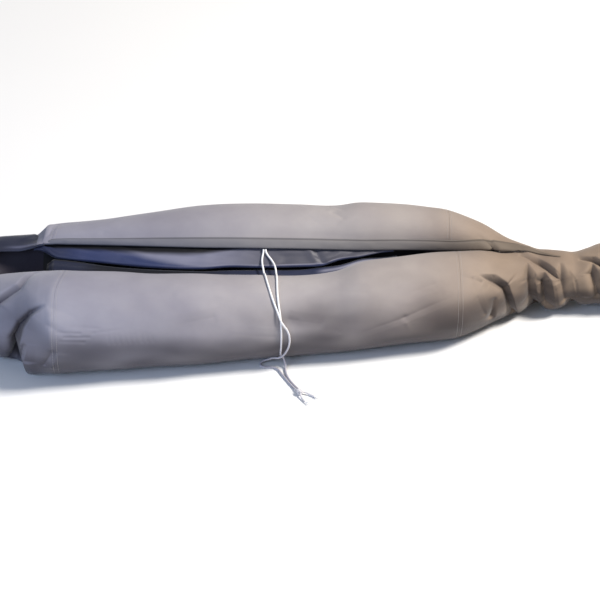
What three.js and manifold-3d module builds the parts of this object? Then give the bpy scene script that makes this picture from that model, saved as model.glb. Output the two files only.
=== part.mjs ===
// A padded car cover gathered into one long bundle that lies on a flat surface.
// The outer cloth makes a roll along the front and a flap behind it. The flap ends in a cord casing,
// folds of the navy lining show in the valley between the two, and both ends of the drawcord hang
// over the roll to a knot that lies in front of it.
// Millimetres, +X along the bundle, +Y away from the viewer, +Z up. The origin is on the floor under
// the middle of the bundle.
import * as THREE from 'three';
import { mergeVertices } from 'three/addons/utils/BufferGeometryUtils.js';
import Module from 'manifold-3d';

const wasm = await Module();
wasm.setup();

// Driving dimensions
const LEFT_TIP = -715; // x of the bundle's closed left end
const RIGHT_TIP = 715; // x of its closed right end
const LEFT_SEAM = -478; // x of the seam between the left end panel and the middle panel
const RIGHT_SEAM = 312; // x of the seam between the middle panel and the right end panel
const END_DEPTH = 70; // length over which each end closes
const GAP = 0.3; // clearance between two pieces that touch
const CASING = { from: -530, to: 525, width: 20, narrow: 10, thickness: 5 }; // drawcord runs inside
const LINING_THICKNESS = 2.5;
const UPPER_FOLD = { from: -510, to: 90 };
const LOWER_FOLD = { from: -510, to: 190 };
const CUFF = { from: -702, to: -536 }; // the lining turned out over the low left end of the flap
const CORD = { diameter: 4, sides: 6, step: 7 };
const KNOT = { x: -1, y: -220, z: 6, length: 15, height: 11 };

// How the bundle changes along its length, a row for each section.
// x: place; rollY, rollR, rollH: the roll's middle, half depth and height;
// valleyY, valleyZ: bottom of the valley; hemY, hemZ: lower edge of the flap;
// crestY, crestZ, crestR: top of the flap and its radius; backY: how far back the bundle reaches;
// round: 0 for roll and flap side by side, 1 for one round gathered neck; lift: neck off the floor.
const SECTIONS = [
  { x: -715, rollY: -20, rollR: 76, rollH: 120, valleyY: 50, valleyZ: 70, hemY: 70, hemZ: 100, crestY: 104, crestZ: 118, crestR: 34, backY: 156, round: 0.9, lift: 0 },
  { x: -660, rollY: -48, rollR: 78, rollH: 148, valleyY: 45, valleyZ: 58, hemY: 76, hemZ: 116, crestY: 108, crestZ: 134, crestR: 33, backY: 166, round: 0.4, lift: 0 },
  { x: -600, rollY: -67, rollR: 82, rollH: 161, valleyY: 38, valleyZ: 48, hemY: 80, hemZ: 128, crestY: 112, crestZ: 139, crestR: 32, backY: 174, round: 0.05, lift: 0 },
  { x: -560, rollY: -82, rollR: 87, rollH: 173, valleyY: 28, valleyZ: 46, hemY: 80, hemZ: 132, crestY: 114, crestZ: 141, crestR: 32, backY: 180, round: 0, lift: 0 },
  { x: -536, rollY: -94, rollR: 93, rollH: 185, valleyY: 18, valleyZ: 56, hemY: 78, hemZ: 140, crestY: 114, crestZ: 144, crestR: 32, backY: 184, round: 0, lift: 0 },
  { x: -512, rollY: -110, rollR: 98, rollH: 196, valleyY: 8, valleyZ: 84, hemY: 74, hemZ: 154, crestY: 113, crestZ: 168, crestR: 32, backY: 188, round: 0, lift: 0 },
  { x: -484, rollY: -117, rollR: 100, rollH: 200, valleyY: 4, valleyZ: 104, hemY: 72, hemZ: 160, crestY: 112, crestZ: 173, crestR: 36, backY: 194, round: 0, lift: 0 },
  { x: -400, rollY: -108, rollR: 96, rollH: 192, valleyY: 4, valleyZ: 110, hemY: 66, hemZ: 162, crestY: 114, crestZ: 182, crestR: 46, backY: 204, round: 0, lift: 0 },
  { x: -300, rollY: -97, rollR: 90, rollH: 182, valleyY: 6, valleyZ: 110, hemY: 58, hemZ: 164, crestY: 117, crestZ: 194, crestR: 60, backY: 206, round: 0, lift: 0 },
  { x: -200, rollY: -88, rollR: 86, rollH: 174, valleyY: 10, valleyZ: 108, hemY: 52, hemZ: 165, crestY: 122, crestZ: 205, crestR: 70, backY: 212, round: 0, lift: 0 },
  { x: -100, rollY: -74, rollR: 81, rollH: 164, valleyY: 14, valleyZ: 106, hemY: 50, hemZ: 165, crestY: 125, crestZ: 208, crestR: 74, backY: 213.5, round: 0, lift: 0 },
  { x: 0, rollY: -60, rollR: 77, rollH: 156, valleyY: 22, valleyZ: 104, hemY: 52, hemZ: 162, crestY: 125, crestZ: 207, crestR: 70, backY: 213, round: 0, lift: 0 },
  { x: 72, rollY: -48, rollR: 77, rollH: 156, valleyY: 30, valleyZ: 106, hemY: 54, hemZ: 159, crestY: 124, crestZ: 209, crestR: 66, backY: 212, round: 0, lift: 0 },
  { x: 120, rollY: -38, rollR: 83, rollH: 168, valleyY: 42, valleyZ: 112, hemY: 56, hemZ: 157, crestY: 124, crestZ: 215, crestR: 63, backY: 212, round: 0, lift: 0 },
  { x: 200, rollY: -23, rollR: 86, rollH: 173, valleyY: 56, valleyZ: 122, hemY: 60, hemZ: 155, crestY: 122, crestZ: 212, crestR: 56, backY: 210, round: 0, lift: 0 },
  { x: 260, rollY: -10, rollR: 86, rollH: 173, valleyY: 64, valleyZ: 130, hemY: 64, hemZ: 152, crestY: 120, crestZ: 207, crestR: 52, backY: 207, round: 0, lift: 0 },
  { x: 314, rollY: 3, rollR: 84, rollH: 168, valleyY: 70, valleyZ: 132, hemY: 68, hemZ: 148, crestY: 118, crestZ: 201, crestR: 46, backY: 202, round: 0, lift: 0 },
  { x: 360, rollY: 26, rollR: 79, rollH: 156, valleyY: 78, valleyZ: 128, hemY: 74, hemZ: 144, crestY: 114, crestZ: 182, crestR: 36, backY: 198, round: 0.1, lift: 0 },
  { x: 400, rollY: 52, rollR: 71, rollH: 140, valleyY: 88, valleyZ: 122, hemY: 82, hemZ: 136, crestY: 110, crestZ: 166, crestR: 24, backY: 182, round: 0.4, lift: 1 },
  { x: 440, rollY: 78, rollR: 66, rollH: 130, valleyY: 98, valleyZ: 114, hemY: 92, hemZ: 128, crestY: 108, crestZ: 142, crestR: 14, backY: 164, round: 0.85, lift: 3 },
  { x: 460, rollY: 88, rollR: 62, rollH: 122, valleyY: 100, valleyZ: 108, hemY: 96, hemZ: 120, crestY: 106, crestZ: 124, crestR: 46, backY: 154, round: 1, lift: 6 },
  { x: 480, rollY: 92, rollR: 54, rollH: 108, valleyY: 100, valleyZ: 108, hemY: 96, hemZ: 120, crestY: 106, crestZ: 122, crestR: 45, backY: 152, round: 1, lift: 10 },
  { x: 504, rollY: 88, rollR: 57, rollH: 114, valleyY: 98, valleyZ: 106, hemY: 98, hemZ: 118, crestY: 106, crestZ: 120, crestR: 45, backY: 151, round: 1, lift: 4 },
  { x: 530, rollY: 88, rollR: 57, rollH: 109, valleyY: 98, valleyZ: 106, hemY: 98, hemZ: 118, crestY: 106, crestZ: 120, crestR: 45, backY: 147, round: 1, lift: 8 },
  { x: 558, rollY: 92, rollR: 42, rollH: 95, valleyY: 96, valleyZ: 106, hemY: 98, hemZ: 120, crestY: 106, crestZ: 124, crestR: 45, backY: 151, round: 1, lift: 13 },
  { x: 574, rollY: 92, rollR: 49, rollH: 106, valleyY: 96, valleyZ: 106, hemY: 98, hemZ: 120, crestY: 106, crestZ: 124, crestR: 45, backY: 156, round: 1, lift: 10 },
  { x: 604, rollY: 92, rollR: 48, rollH: 118, valleyY: 96, valleyZ: 112, hemY: 98, hemZ: 126, crestY: 106, crestZ: 134, crestR: 48, backY: 168, round: 1, lift: 5 },
  { x: 660, rollY: 90, rollR: 52, rollH: 128, valleyY: 96, valleyZ: 116, hemY: 96, hemZ: 130, crestY: 104, crestZ: 138, crestR: 50, backY: 170, round: 1, lift: 0 },
  { x: 715, rollY: 90, rollR: 54, rollH: 124, valleyY: 96, valleyZ: 112, hemY: 96, hemZ: 126, crestY: 104, crestZ: 130, crestR: 50, backY: 166, round: 1, lift: 0 },
];

// The main folds, a row for each stretch: a crease from (fromX, fromAngle) to (toX, toAngle) on the
// outer cloth. Angles are degrees round the roll: 90 top, 180 front, 270 floor. The depth runs from
// fromDepth to toDepth, width is the half width of the gentle side and lead the steep side's share of it.
const FOLDS = [
  { fromX: -498, fromAngle: 124, toX: -536, toAngle: 146, fromDepth: 6, toDepth: 18, width: 14, lead: 0.6 },
  { fromX: -536, fromAngle: 146, toX: -547, toAngle: 178, fromDepth: 18, toDepth: 25, width: 14, lead: 0.6 },
  { fromX: -547, fromAngle: 178, toX: -548, toAngle: 240, fromDepth: 25, toDepth: 28, width: 14, lead: 0.7 },
  { fromX: -526, fromAngle: 54, toX: -549, toAngle: 101, fromDepth: 15, toDepth: 13, width: 18, lead: 0.6 },
  { fromX: -549, fromAngle: 101, toX: -592, toAngle: 127, fromDepth: 13, toDepth: 12, width: 18, lead: 0.6 },
  { fromX: -592, fromAngle: 127, toX: -645, toAngle: 165, fromDepth: 12, toDepth: 8, width: 20, lead: 0.6 },
  { fromX: -529, fromAngle: 168, toX: -537, toAngle: 192, fromDepth: 6, toDepth: 7, width: 7, lead: 1 },
  { fromX: -484, fromAngle: 182, toX: -500, toAngle: 206, fromDepth: 4, toDepth: 5, width: 12, lead: 1 },
  { fromX: 358, fromAngle: 126, toX: 394, toAngle: 150, fromDepth: 9, toDepth: 13, width: 12, lead: 0.6 },
  { fromX: 394, fromAngle: 150, toX: 418, toAngle: 180, fromDepth: 13, toDepth: 16, width: 12, lead: 0.6 },
  { fromX: 418, fromAngle: 180, toX: 432, toAngle: 226, fromDepth: 16, toDepth: 14, width: 12, lead: 0.6 },
  { fromX: 384, fromAngle: 172, toX: 382, toAngle: 192, fromDepth: 6, toDepth: 7, width: 8, lead: 1 },
  { fromX: 456, fromAngle: 118, toX: 461, toAngle: 180, fromDepth: 10, toDepth: 16, width: 15, lead: 0.4 },
  { fromX: 461, fromAngle: 180, toX: 473, toAngle: 240, fromDepth: 16, toDepth: 9, width: 12, lead: 0.6 },
  { fromX: 440, fromAngle: 104, toX: 490, toAngle: 127, fromDepth: 6, toDepth: 8, width: 12, lead: 0.7 },
  { fromX: 490, fromAngle: 127, toX: 522, toAngle: 160, fromDepth: 8, toDepth: 8, width: 12, lead: 0.7 },
  { fromX: 492, fromAngle: 142, toX: 488, toAngle: 172, fromDepth: 9, toDepth: 13, width: 13, lead: 0.4 },
  { fromX: 488, fromAngle: 172, toX: 494, toAngle: 206, fromDepth: 13, toDepth: 9, width: 12, lead: 0.5 },
  { fromX: 524, fromAngle: 124, toX: 524, toAngle: 172, fromDepth: 8, toDepth: 11, width: 13, lead: 0.6 },
  { fromX: 524, fromAngle: 172, toX: 556, toAngle: 240, fromDepth: 11, toDepth: 7, width: 13, lead: 0.7 },
  { fromX: 560, fromAngle: 98, toX: 610, toAngle: 130, fromDepth: 8, toDepth: 12, width: 12, lead: 0.6 },
  { fromX: 590, fromAngle: 134, toX: 604, toAngle: 184, fromDepth: 8, toDepth: 10, width: 13, lead: 0.5 },
];
const PLEATS = { count: 9, depth: 6, reach: 110 }; // the plain gathers at both closed ends

// Folds of the lining in the valley, a row for each section: the nose of the upper fold, how high it
// swells above the line from its nose to the hem, the nose of the lower fold, and how far behind that
// nose and how much higher its ridge lies.
const LINING = [
  { x: -508, upperY: 56, upperZ: 144, swell: 1, lowerY: 8, lowerZ: 136, reach: 30, rise: 8 },
  { x: -490, upperY: 50, upperZ: 144, swell: 2, lowerY: 6, lowerZ: 138, reach: 29, rise: 6 },
  { x: -450, upperY: 42, upperZ: 144, swell: 3, lowerY: 2, lowerZ: 140, reach: 26, rise: 4 },
  { x: -380, upperY: 32, upperZ: 142.5, swell: 3, lowerY: -2, lowerZ: 138, reach: 18, rise: 2 },
  { x: -300, upperY: 20, upperZ: 141.5, swell: 4, lowerY: -4, lowerZ: 136, reach: 14, rise: 1 },
  { x: -200, upperY: 14, upperZ: 141.5, swell: 3, lowerY: -6, lowerZ: 134, reach: 13, rise: 1 },
  { x: -140, upperY: 19, upperZ: 143, swell: 2, lowerY: -2, lowerZ: 133, reach: 13, rise: 1 },
  { x: -80, upperY: 20, upperZ: 141, swell: 1, lowerY: 1, lowerZ: 132, reach: 13, rise: 1 },
  { x: 0, upperY: 24, upperZ: 140.5, swell: 2, lowerY: 8, lowerZ: 127, reach: 13, rise: 2 },
  { x: 44, upperY: 28, upperZ: 140.5, swell: 3, lowerY: 15, lowerZ: 128, reach: 12, rise: 3 },
  { x: 80, upperY: 38, upperZ: 142, swell: 3, lowerY: 20, lowerZ: 132, reach: 8, rise: 3.5 },
  { x: 120, upperY: 48, upperZ: 144.5, swell: 2, lowerY: 36, lowerZ: 138, reach: 6, rise: 3 },
  { x: 160, upperY: 52, upperZ: 146, swell: 2, lowerY: 45, lowerZ: 141.5, reach: 5, rise: 2 },
  { x: 200, upperY: 56, upperZ: 147, swell: 2, lowerY: 54, lowerZ: 146, reach: 4, rise: 1 },
];

// Where the two ends of the drawcord run. First rows by x, y, z from the casing's edge over the lining,
// then rows round the roll by angle, with how far the cord is above the cloth, and last the floor.
const STRANDS = {
  drawcord_a: {
    fromCasing: [[-74, 46, 163], [-75, 42, 158.5], [-76, 36, 154.4], [-76.5, 28, 150.8], [-76.5, 18, 146.8], [-75.5, 4, 144.6]],
    overRoll: [
      { x: -73, angle: 47, above: 1.6 }, { x: -69.5, angle: 57, above: 0.8 }, { x: -67.5, angle: 72, above: 0.5 },
      { x: -64, angle: 88, above: 0.5 }, { x: -60, angle: 105, above: 0.5 }, { x: -53.5, angle: 122, above: 0.5 },
      { x: -46, angle: 136, above: 1 }, { x: -42, angle: 143, above: 3.8 }, { x: -37.4, angle: 151.5, above: 5 },
      { x: -31, angle: 159, above: 3.8 }, { x: -26, angle: 165, above: 1 }, { x: -21.5, angle: 174, above: 0.5 },
      { x: -20.4, angle: 184, above: 0.5 }, { x: -22.5, angle: 195, above: 0.6 }, { x: -28, angle: 206, above: 2.5 },
      { x: -35, angle: 213.5, above: 5 }, { x: -43, angle: 219, above: 4.6 }, { x: -53, angle: 225, above: 1.5 },
    ],
    onFloor: [
      [-64, -118.5, 11], [-72, -116, 6.5], [-78, -119, 3.4], [-78, -126, 2.1], [-71, -131, 2.1], [-60, -131.5, 2.1],
      [-50, -134, 2.1], [-42, -142, 2.1], [-35.5, -156, 2.1], [-28, -171, 2.1], [-20, -187, 2.1], [-12.5, -200.5, 2.6],
      [-6.4, -212, 4.8],
    ],
  },
  drawcord_b: {
    fromCasing: [[-69, 46, 163], [-67, 42, 158.5], [-63.5, 36, 154.4], [-59, 28, 150.8], [-54, 18, 146.8], [-50.5, 4, 144.6]],
    overRoll: [
      { x: -49, angle: 47, above: 1.6 }, { x: -47.5, angle: 57, above: 0.8 }, { x: -46.3, angle: 72, above: 0.5 },
      { x: -45.3, angle: 88, above: 0.5 }, { x: -45, angle: 100, above: 0.5 }, { x: -44.2, angle: 114, above: 0.5 },
      { x: -41.8, angle: 130, above: 0.4 }, { x: -39, angle: 143, above: 0.4 }, { x: -37.6, angle: 153, above: 0.4 },
      { x: -37, angle: 164, above: 0.4 }, { x: -36.8, angle: 179, above: 0.4 }, { x: -37.5, angle: 196, above: 0.4 },
      { x: -38.3, angle: 207, above: 0.4 }, { x: -37.8, angle: 216, above: 0.4 }, { x: -34.5, angle: 224, above: 0.6 },
    ],
    onFloor: [
      [-31, -124, 13], [-29.5, -129, 6.5], [-29, -135, 2.8], [-28.5, -143, 2.1], [-26.5, -156, 2.1], [-21.8, -171, 2.1],
      [-14.2, -187, 2.1], [-7.2, -200, 2.6], [-0.9, -211.6, 5],
    ],
  },
};
const TIPS = [ // the free ends beyond the knot
  [[1, -219, 6.2], [8, -219, 5.6], [15, -221, 3.2], [22, -225.5, 2.1], [29, -231, 2.1]],
  [[0, -224, 6.2], [1.6, -230, 5], [4.2, -237, 2.6], [7.4, -243, 2.1], [10.6, -248, 2.1]],
];

// One column of a table as a smooth curve of x.
function along(rows, key, x) {
  const last = rows.length - 1;
  if (x <= rows[0].x) return rows[0][key];
  if (x >= rows[last].x) return rows[last][key];
  const i = rows.findIndex((row, n) => n < last && x < rows[n + 1].x);
  const slope = (n) => {
    const before = rows[Math.max(n - 1, 0)];
    const after = rows[Math.min(n + 1, last)];
    return (after[key] - before[key]) / (after.x - before.x);
  };
  const span = rows[i + 1].x - rows[i].x;
  const t = (x - rows[i].x) / span;
  const t2 = t * t;
  const t3 = t2 * t;
  return (2 * t3 - 3 * t2 + 1) * rows[i][key] + (t3 - 2 * t2 + t) * span * slope(i)
    + (3 * t2 - 2 * t3) * rows[i + 1][key] + (t3 - t2) * span * slope(i + 1);
}

const mix = (a, b, t) => a + (b - a) * t;
const radians = THREE.MathUtils.degToRad;
const degrees = THREE.MathUtils.radToDeg;
const smooth = (low, high, value) => THREE.MathUtils.smoothstep(value, low, high);

// Count points along the smooth curve through corners, without its first one.
function curve(corners, count) {
  const line = new THREE.SplineCurve(corners.map(([y, z]) => new THREE.Vector2(y, z)));
  return Array.from({ length: count }, (_, i) => line.getPoint((i + 1) / count)).map((p) => [p.x, p.y]);
}

// How deep the cloth is drawn in at a place on the bundle.
function foldDepth(x, angle, size) {
  let depth = 0;
  for (const f of FOLDS) {
    const across = f.toX - f.fromX;
    const round = radians(f.toAngle - f.fromAngle) * size;
    const length = Math.hypot(across, round);
    const px = x - f.fromX;
    const pr = radians(angle - f.fromAngle) * size;
    const t = (px * across + pr * round) / length ** 2;
    const off = (px * round - pr * across) / length;
    const wide = f.width * (off * across > 0 ? f.lead : 1);
    const past = Math.max(-t, t - 1, 0) * length;
    const ends = Math.exp(-((past / (f.width * 0.7)) ** 2));
    const here = mix(f.fromDepth, f.toDepth, THREE.MathUtils.clamp(t, 0, 1));
    depth = Math.max(depth, here * ends * Math.exp(-((off / wide) ** 2)));
  }
  const toEnd = Math.min(x - LEFT_TIP, RIGHT_TIP - x);
  const gathered = 1 - smooth(0, PLEATS.reach, toEnd);
  depth += PLEATS.depth * gathered * (1 + Math.cos(radians(angle * PLEATS.count)));
  return depth;
}

const ROLL_STEPS = 24;
const VALLEY_STEPS = 7;
const CREST_STEPS = 8;
const BACK_STEPS = 5;
const FLOOR_STEPS = 3;
const ROLL_START = 262; // degrees, where the roll leaves the floor
const FLANK_RISE = 24; // the roll's round back ends this far above the valley's bottom
const SETTLE = 1.03; // how far the round outline is pressed flat on the floor
const NECK_HEM = 96; // degrees, where the hem lies on the round neck
const CREST_END = 20; // degrees, where the flap's round top ends at the back

// The width of the band of cloth at the hem that the casing covers.
function bandWidth(x) {
  return mix(CASING.narrow, CASING.width, smooth(-500, -140, x));
}

// The outline of the bundle's outer cloth at x: a closed list of [y, z], from the floor at the front,
// over the roll, through the valley, round the hem, over the flap and down the back.
function outline(x) {
  const s = Object.fromEntries(Object.keys(SECTIONS[0]).map((key) => [key, along(SECTIONS, key, x)]));
  const points = [];
  const add = (y, z, centre, roundAngle, soft) => points.push({ y, z, centre, roundAngle, soft });
  const rollCentre = [s.rollY, s.rollH / 2];
  const half = s.rollH / 2;
  const sine = THREE.MathUtils.clamp((s.valleyZ + FLANK_RISE - half) / (half * SETTLE), -0.6, 0.8);
  const flank = degrees(Math.asin(sine));
  for (let i = 0; i <= ROLL_STEPS; i++) {
    const angle = mix(ROLL_START, flank, i / ROLL_STEPS);
    const y = s.rollY + s.rollR * Math.cos(radians(angle));
    const z = half + half * SETTLE * Math.sin(radians(angle));
    add(y, z, rollCentre, mix(ROLL_START, NECK_HEM + 5, i / ROLL_STEPS), 1);
  }
  const end = points[points.length - 1];
  const under = [s.hemY + 24, s.hemZ - 17];
  const valley = curve([[end.y, end.z], [s.valleyY, s.valleyZ], under, [s.hemY, s.hemZ]], VALLEY_STEPS);
  valley.forEach(([y, z], i) => add(y, z, rollCentre, mix(NECK_HEM + 5, NECK_HEM, (i + 1) / VALLEY_STEPS), 0));
  const crest = [s.crestY, s.crestZ - s.crestR];
  const toHem = [s.hemY - crest[0], s.hemZ - crest[1]];
  const reach = Math.max(Math.hypot(...toHem), s.crestR * 1.001);
  const tangent = ((degrees(Math.atan2(toHem[1], toHem[0])) + 360) % 360) - degrees(Math.acos(s.crestR / reach));
  const onCrest = (angle) => [
    crest[0] + s.crestR * Math.cos(radians(angle)),
    crest[1] + s.crestR * Math.sin(radians(angle)),
  ];
  const faceEnd = onCrest(tangent);
  const face = Math.hypot(faceEnd[0] - s.hemY, faceEnd[1] - s.hemZ);
  const band = bandWidth(x);
  const up = (distance) => (distance < face
    ? [mix(s.hemY, faceEnd[0], distance / face), mix(s.hemZ, faceEnd[1], distance / face)]
    : onCrest(tangent - degrees((distance - face) / s.crestR)));
  add(...up(band / 2), crest, NECK_HEM - 10, 0);
  add(...up(band), crest, NECK_HEM - 20, 0);
  const start = tangent - degrees(Math.max(band + 4 - face, 0) / s.crestR);
  for (let i = 0; i <= CREST_STEPS; i++) {
    const [y, z] = onCrest(mix(start, CREST_END, i / CREST_STEPS));
    add(y, z, crest, mix(NECK_HEM - 27, 0, i / CREST_STEPS), 0);
  }
  const last = onCrest(CREST_END);
  const back = curve([last, [s.backY, s.crestZ * 0.45], [s.backY - 2, s.crestZ * 0.16], [s.backY - 26, 0]], BACK_STEPS);
  back.forEach(([y, z], i) => add(y, z, crest, mix(0, -78, (i + 1) / BACK_STEPS), 0));
  const front = points[0];
  for (let i = 1; i <= FLOOR_STEPS; i++) {
    const t = i / (FLOOR_STEPS + 1);
    add(mix(s.backY - 26, front.y, t), 0, crest, mix(-78, ROLL_START - 360, t), 0);
  }
  const neckY = (s.rollY - s.rollR + s.backY) / 2;
  const neckR = (s.backY - s.rollY + s.rollR) / 2;
  const neck = [neckY, s.lift + half];
  const toEnd = Math.min(x - LEFT_TIP, RIGHT_TIP - x) / END_DEPTH;
  const closing = toEnd < 1 ? Math.sqrt(Math.max(1 - (1 - toEnd) ** 2, 0.02)) : 1;
  return points.map((p) => {
    const a = radians(p.roundAngle);
    const y = mix(p.y, neckY + neckR * Math.cos(a), s.round);
    const z = mix(p.z, neck[1] + half * SETTLE * Math.sin(a), s.round);
    const centre = [mix(p.centre[0], neckY, s.round), mix(p.centre[1], neck[1], s.round)];
    const away = [y - centre[0], z - centre[1]];
    const far = Math.hypot(...away);
    const angle = (degrees(Math.atan2(away[1], away[0])) + 450) % 360 - 90;
    const soft = mix(p.soft, 1, s.round);
    const keep = 1 - (soft * foldDepth(x, angle, far)) / far;
    const cy = centre[0] + away[0] * keep;
    const cz = centre[1] + away[1] * keep;
    return [mix(neckY, cy, closing), Math.max(mix(neck[1] * 0.9, cz, closing), 0)];
  });
}

// The outline moved out by a distance, to cut a clear seat for a piece that lies on the cloth.
function grown(points, distance) {
  return points.map(([y, z], i) => {
    const [y0, z0] = points[(i + points.length - 1) % points.length];
    const [y1, z1] = points[(i + 1) % points.length];
    const length = Math.hypot(y1 - y0, z1 - z0) || 1;
    return [y - ((z1 - z0) / length) * distance, z + ((y1 - y0) / length) * distance];
  });
}

// A closed surface through one ring of [y, z] points at each x.
function loft(stations, ringAt) {
  const rings = stations.map((x) => ringAt(x));
  const count = rings[0].length;
  const positions = rings.flatMap((ring, k) => ring.flatMap(([y, z]) => [stations[k], y, z]));
  const faces = [];
  const inward = !THREE.ShapeUtils.isClockWise(rings[0].map(([y, z]) => new THREE.Vector2(y, z)));
  for (let k = 0; k + 1 < rings.length; k++) {
    for (let i = 0; i < count; i++) {
      const a = k * count + i;
      const b = k * count + ((i + 1) % count);
      if (inward) faces.push(a, b, a + count, b, b + count, a + count);
      else faces.push(a, a + count, b, b, a + count, b + count);
    }
  }
  for (const [k, turned] of [[0, false], [rings.length - 1, true]]) {
    const flat = rings[k].map(([y, z]) => new THREE.Vector2(y, z));
    for (const triangle of THREE.ShapeUtils.triangulateShape(flat, [])) {
      const corners = triangle.map((n) => k * count + n);
      faces.push(...(turned ? corners : corners.reverse()));
    }
  }
  const geometry = new THREE.BufferGeometry();
  geometry.setAttribute('position', new THREE.Float32BufferAttribute(positions, 3));
  geometry.setIndex(faces);
  return geometry;
}

const span = (from, to, step) => {
  const count = Math.max(1, Math.round((to - from) / step));
  return Array.from({ length: count + 1 }, (_, i) => mix(from, to, i / count));
};
const LEFT_STATIONS = span(LEFT_TIP, LEFT_SEAM - GAP, 10);
const MIDDLE_STATIONS = span(LEFT_SEAM, RIGHT_SEAM, 32);
const RIGHT_STATIONS = span(RIGHT_SEAM + GAP, RIGHT_TIP, 10);
const STATIONS = [...LEFT_STATIONS, ...MIDDLE_STATIONS, ...RIGHT_STATIONS];
const between = ({ from, to }) => STATIONS.filter((x) => x >= from && x <= to);

const HEM = ROLL_STEPS + VALLEY_STEPS; // the place of the hem in the outline's list

// Count corners of the outline from the hem upward, moved off the cloth by a distance.
function offHem(points, count, distance) {
  const above = points.slice(HEM);
  const [[y0, z0], [y1, z1]] = above;
  const length = Math.hypot(y1 - y0, z1 - z0);
  const hem = [y0 - ((z1 - z0) / length) * distance, z0 + ((y1 - y0) / length) * distance];
  return [hem, ...grown(above, distance).slice(1, count)];
}

// The casing's outline: flat against the flap, rounded by the cord inside.
function casingRing(x) {
  const points = outline(x);
  const ends = THREE.MathUtils.clamp(Math.min(x - CASING.from, CASING.to - x) / 40, 0, 1);
  const thick = CASING.thickness * mix(0.4, 1, ends);
  const off = (share) => offHem(points, 3, GAP + 0.1 + thick * share);
  const [edge, middle, top] = off(0);
  const [lowEdge, , highEdge] = off(0.4);
  const [low, full, high] = off(1);
  const part = (p, q, t) => [mix(p[0], q[0], t), mix(p[1], q[1], t)];
  return [edge, middle, top, highEdge, part(full, high, 0.6), full, part(low, full, 0.3), lowEdge];
}

// The lining turned out over the low end of the flap.
function cuffRing(x) {
  const points = outline(x);
  const count = 9;
  return [...offHem(points, count, GAP + 0.1), ...offHem(points, count, GAP + 0.1 + LINING_THICKNESS).reverse()];
}

// The closed outline of a sheet that runs along a line of [y, z] points.
function sheet(line, thickness) {
  const side = (off) => line.map(([y, z], i) => {
    const before = line[Math.max(i - 1, 0)];
    const after = line[Math.min(i + 1, line.length - 1)];
    const length = Math.hypot(after[0] - before[0], after[1] - before[1]);
    return [y - ((after[1] - before[1]) / length) * off, z + ((after[0] - before[0]) / length) * off];
  });
  return [...side(thickness / 2), ...side(-thickness / 2).reverse()];
}

// Places along one stretch of the outline, moved off the cloth by a distance.
function onStretch(points, i, shares, distance) {
  const [[y0, z0], [y1, z1]] = [points[i], points[i + 1]];
  const length = Math.hypot(y1 - y0, z1 - z0);
  return shares.map((t) => [
    mix(y0, y1, t) - ((z1 - z0) / length) * distance,
    mix(z0, z1, t) + ((y1 - y0) / length) * distance,
  ]);
}

// The upper fold: sewn behind the hem, forward to its nose and back under itself.
function upperFold(x) {
  const at = (key) => along(LINING, key, x);
  const sewn = onStretch(outline(x), HEM - 1, [0, 0.4], GAP + LINING_THICKNESS / 2);
  const nose = [at('upperY'), at('upperZ')];
  const top = (t, rise) => [mix(sewn[1][0], nose[0], t), mix(sewn[1][1], nose[1], t) + at('swell') * rise];
  const back = Math.min(22, sewn[1][0] - nose[0]);
  const line = [...sewn, top(0.35, 0.9), top(0.7, 0.9), top(0.92, 0.4), nose, [nose[0] + 0.4, nose[1] - 4],
    [nose[0] + back * 0.4, nose[1] - 6.5], [nose[0] + back, nose[1] - 6.5]];
  return sheet(line.reverse(), LINING_THICKNESS);
}

// The lower fold: from its ridge forward to its nose and down the valley's wall.
function lowerFold(x) {
  const at = (key) => along(LINING, key, x);
  const seat = onStretch(outline(x), ROLL_STEPS, [0.5, 1], GAP + LINING_THICKNESS / 2);
  const y = at('lowerY');
  const z = at('lowerZ');
  const reach = at('reach');
  const rise = at('rise');
  const line = [[y + reach + 12, z + rise - 10], [y + reach + 5, z + rise - 3], [y + reach, z + rise],
    [y + reach * 0.5, z + rise * 0.7], [y, z], ...seat];
  return sheet(line.reverse(), LINING_THICKNESS);
}

// A place on the roll by its angle, with how far a point stands off the cloth.
function onRoll(x, angle, off) {
  const points = outline(x).slice(0, ROLL_STEPS + 1);
  const centre = [along(SECTIONS, 'rollY', x), along(SECTIONS, 'rollH', x) / 2];
  const angles = points.map(([y, z]) => (degrees(Math.atan2(z - centre[1], y - centre[0])) + 450) % 360 - 90);
  const i = Math.max(1, angles.findIndex((a) => a <= angle));
  const t = (angles[i - 1] - angle) / (angles[i - 1] - angles[i]);
  const before = points[Math.max(i - 2, 0)];
  const after = points[Math.min(i + 1, ROLL_STEPS)];
  const length = Math.hypot(after[0] - before[0], after[1] - before[1]);
  return [
    x,
    mix(points[i - 1][0], points[i][0], t) - ((after[1] - before[1]) / length) * off,
    mix(points[i - 1][1], points[i][1], t) + ((after[0] - before[0]) / length) * off,
  ];
}

const radius = CORD.diameter / 2;
function route({ fromCasing, overRoll, onFloor }) {
  const rows = [...fromCasing, ...overRoll.map((r) => onRoll(r.x, r.angle, radius + r.above)), ...onFloor];
  return rows.map((p) => new THREE.Vector3(...p));
}

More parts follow.
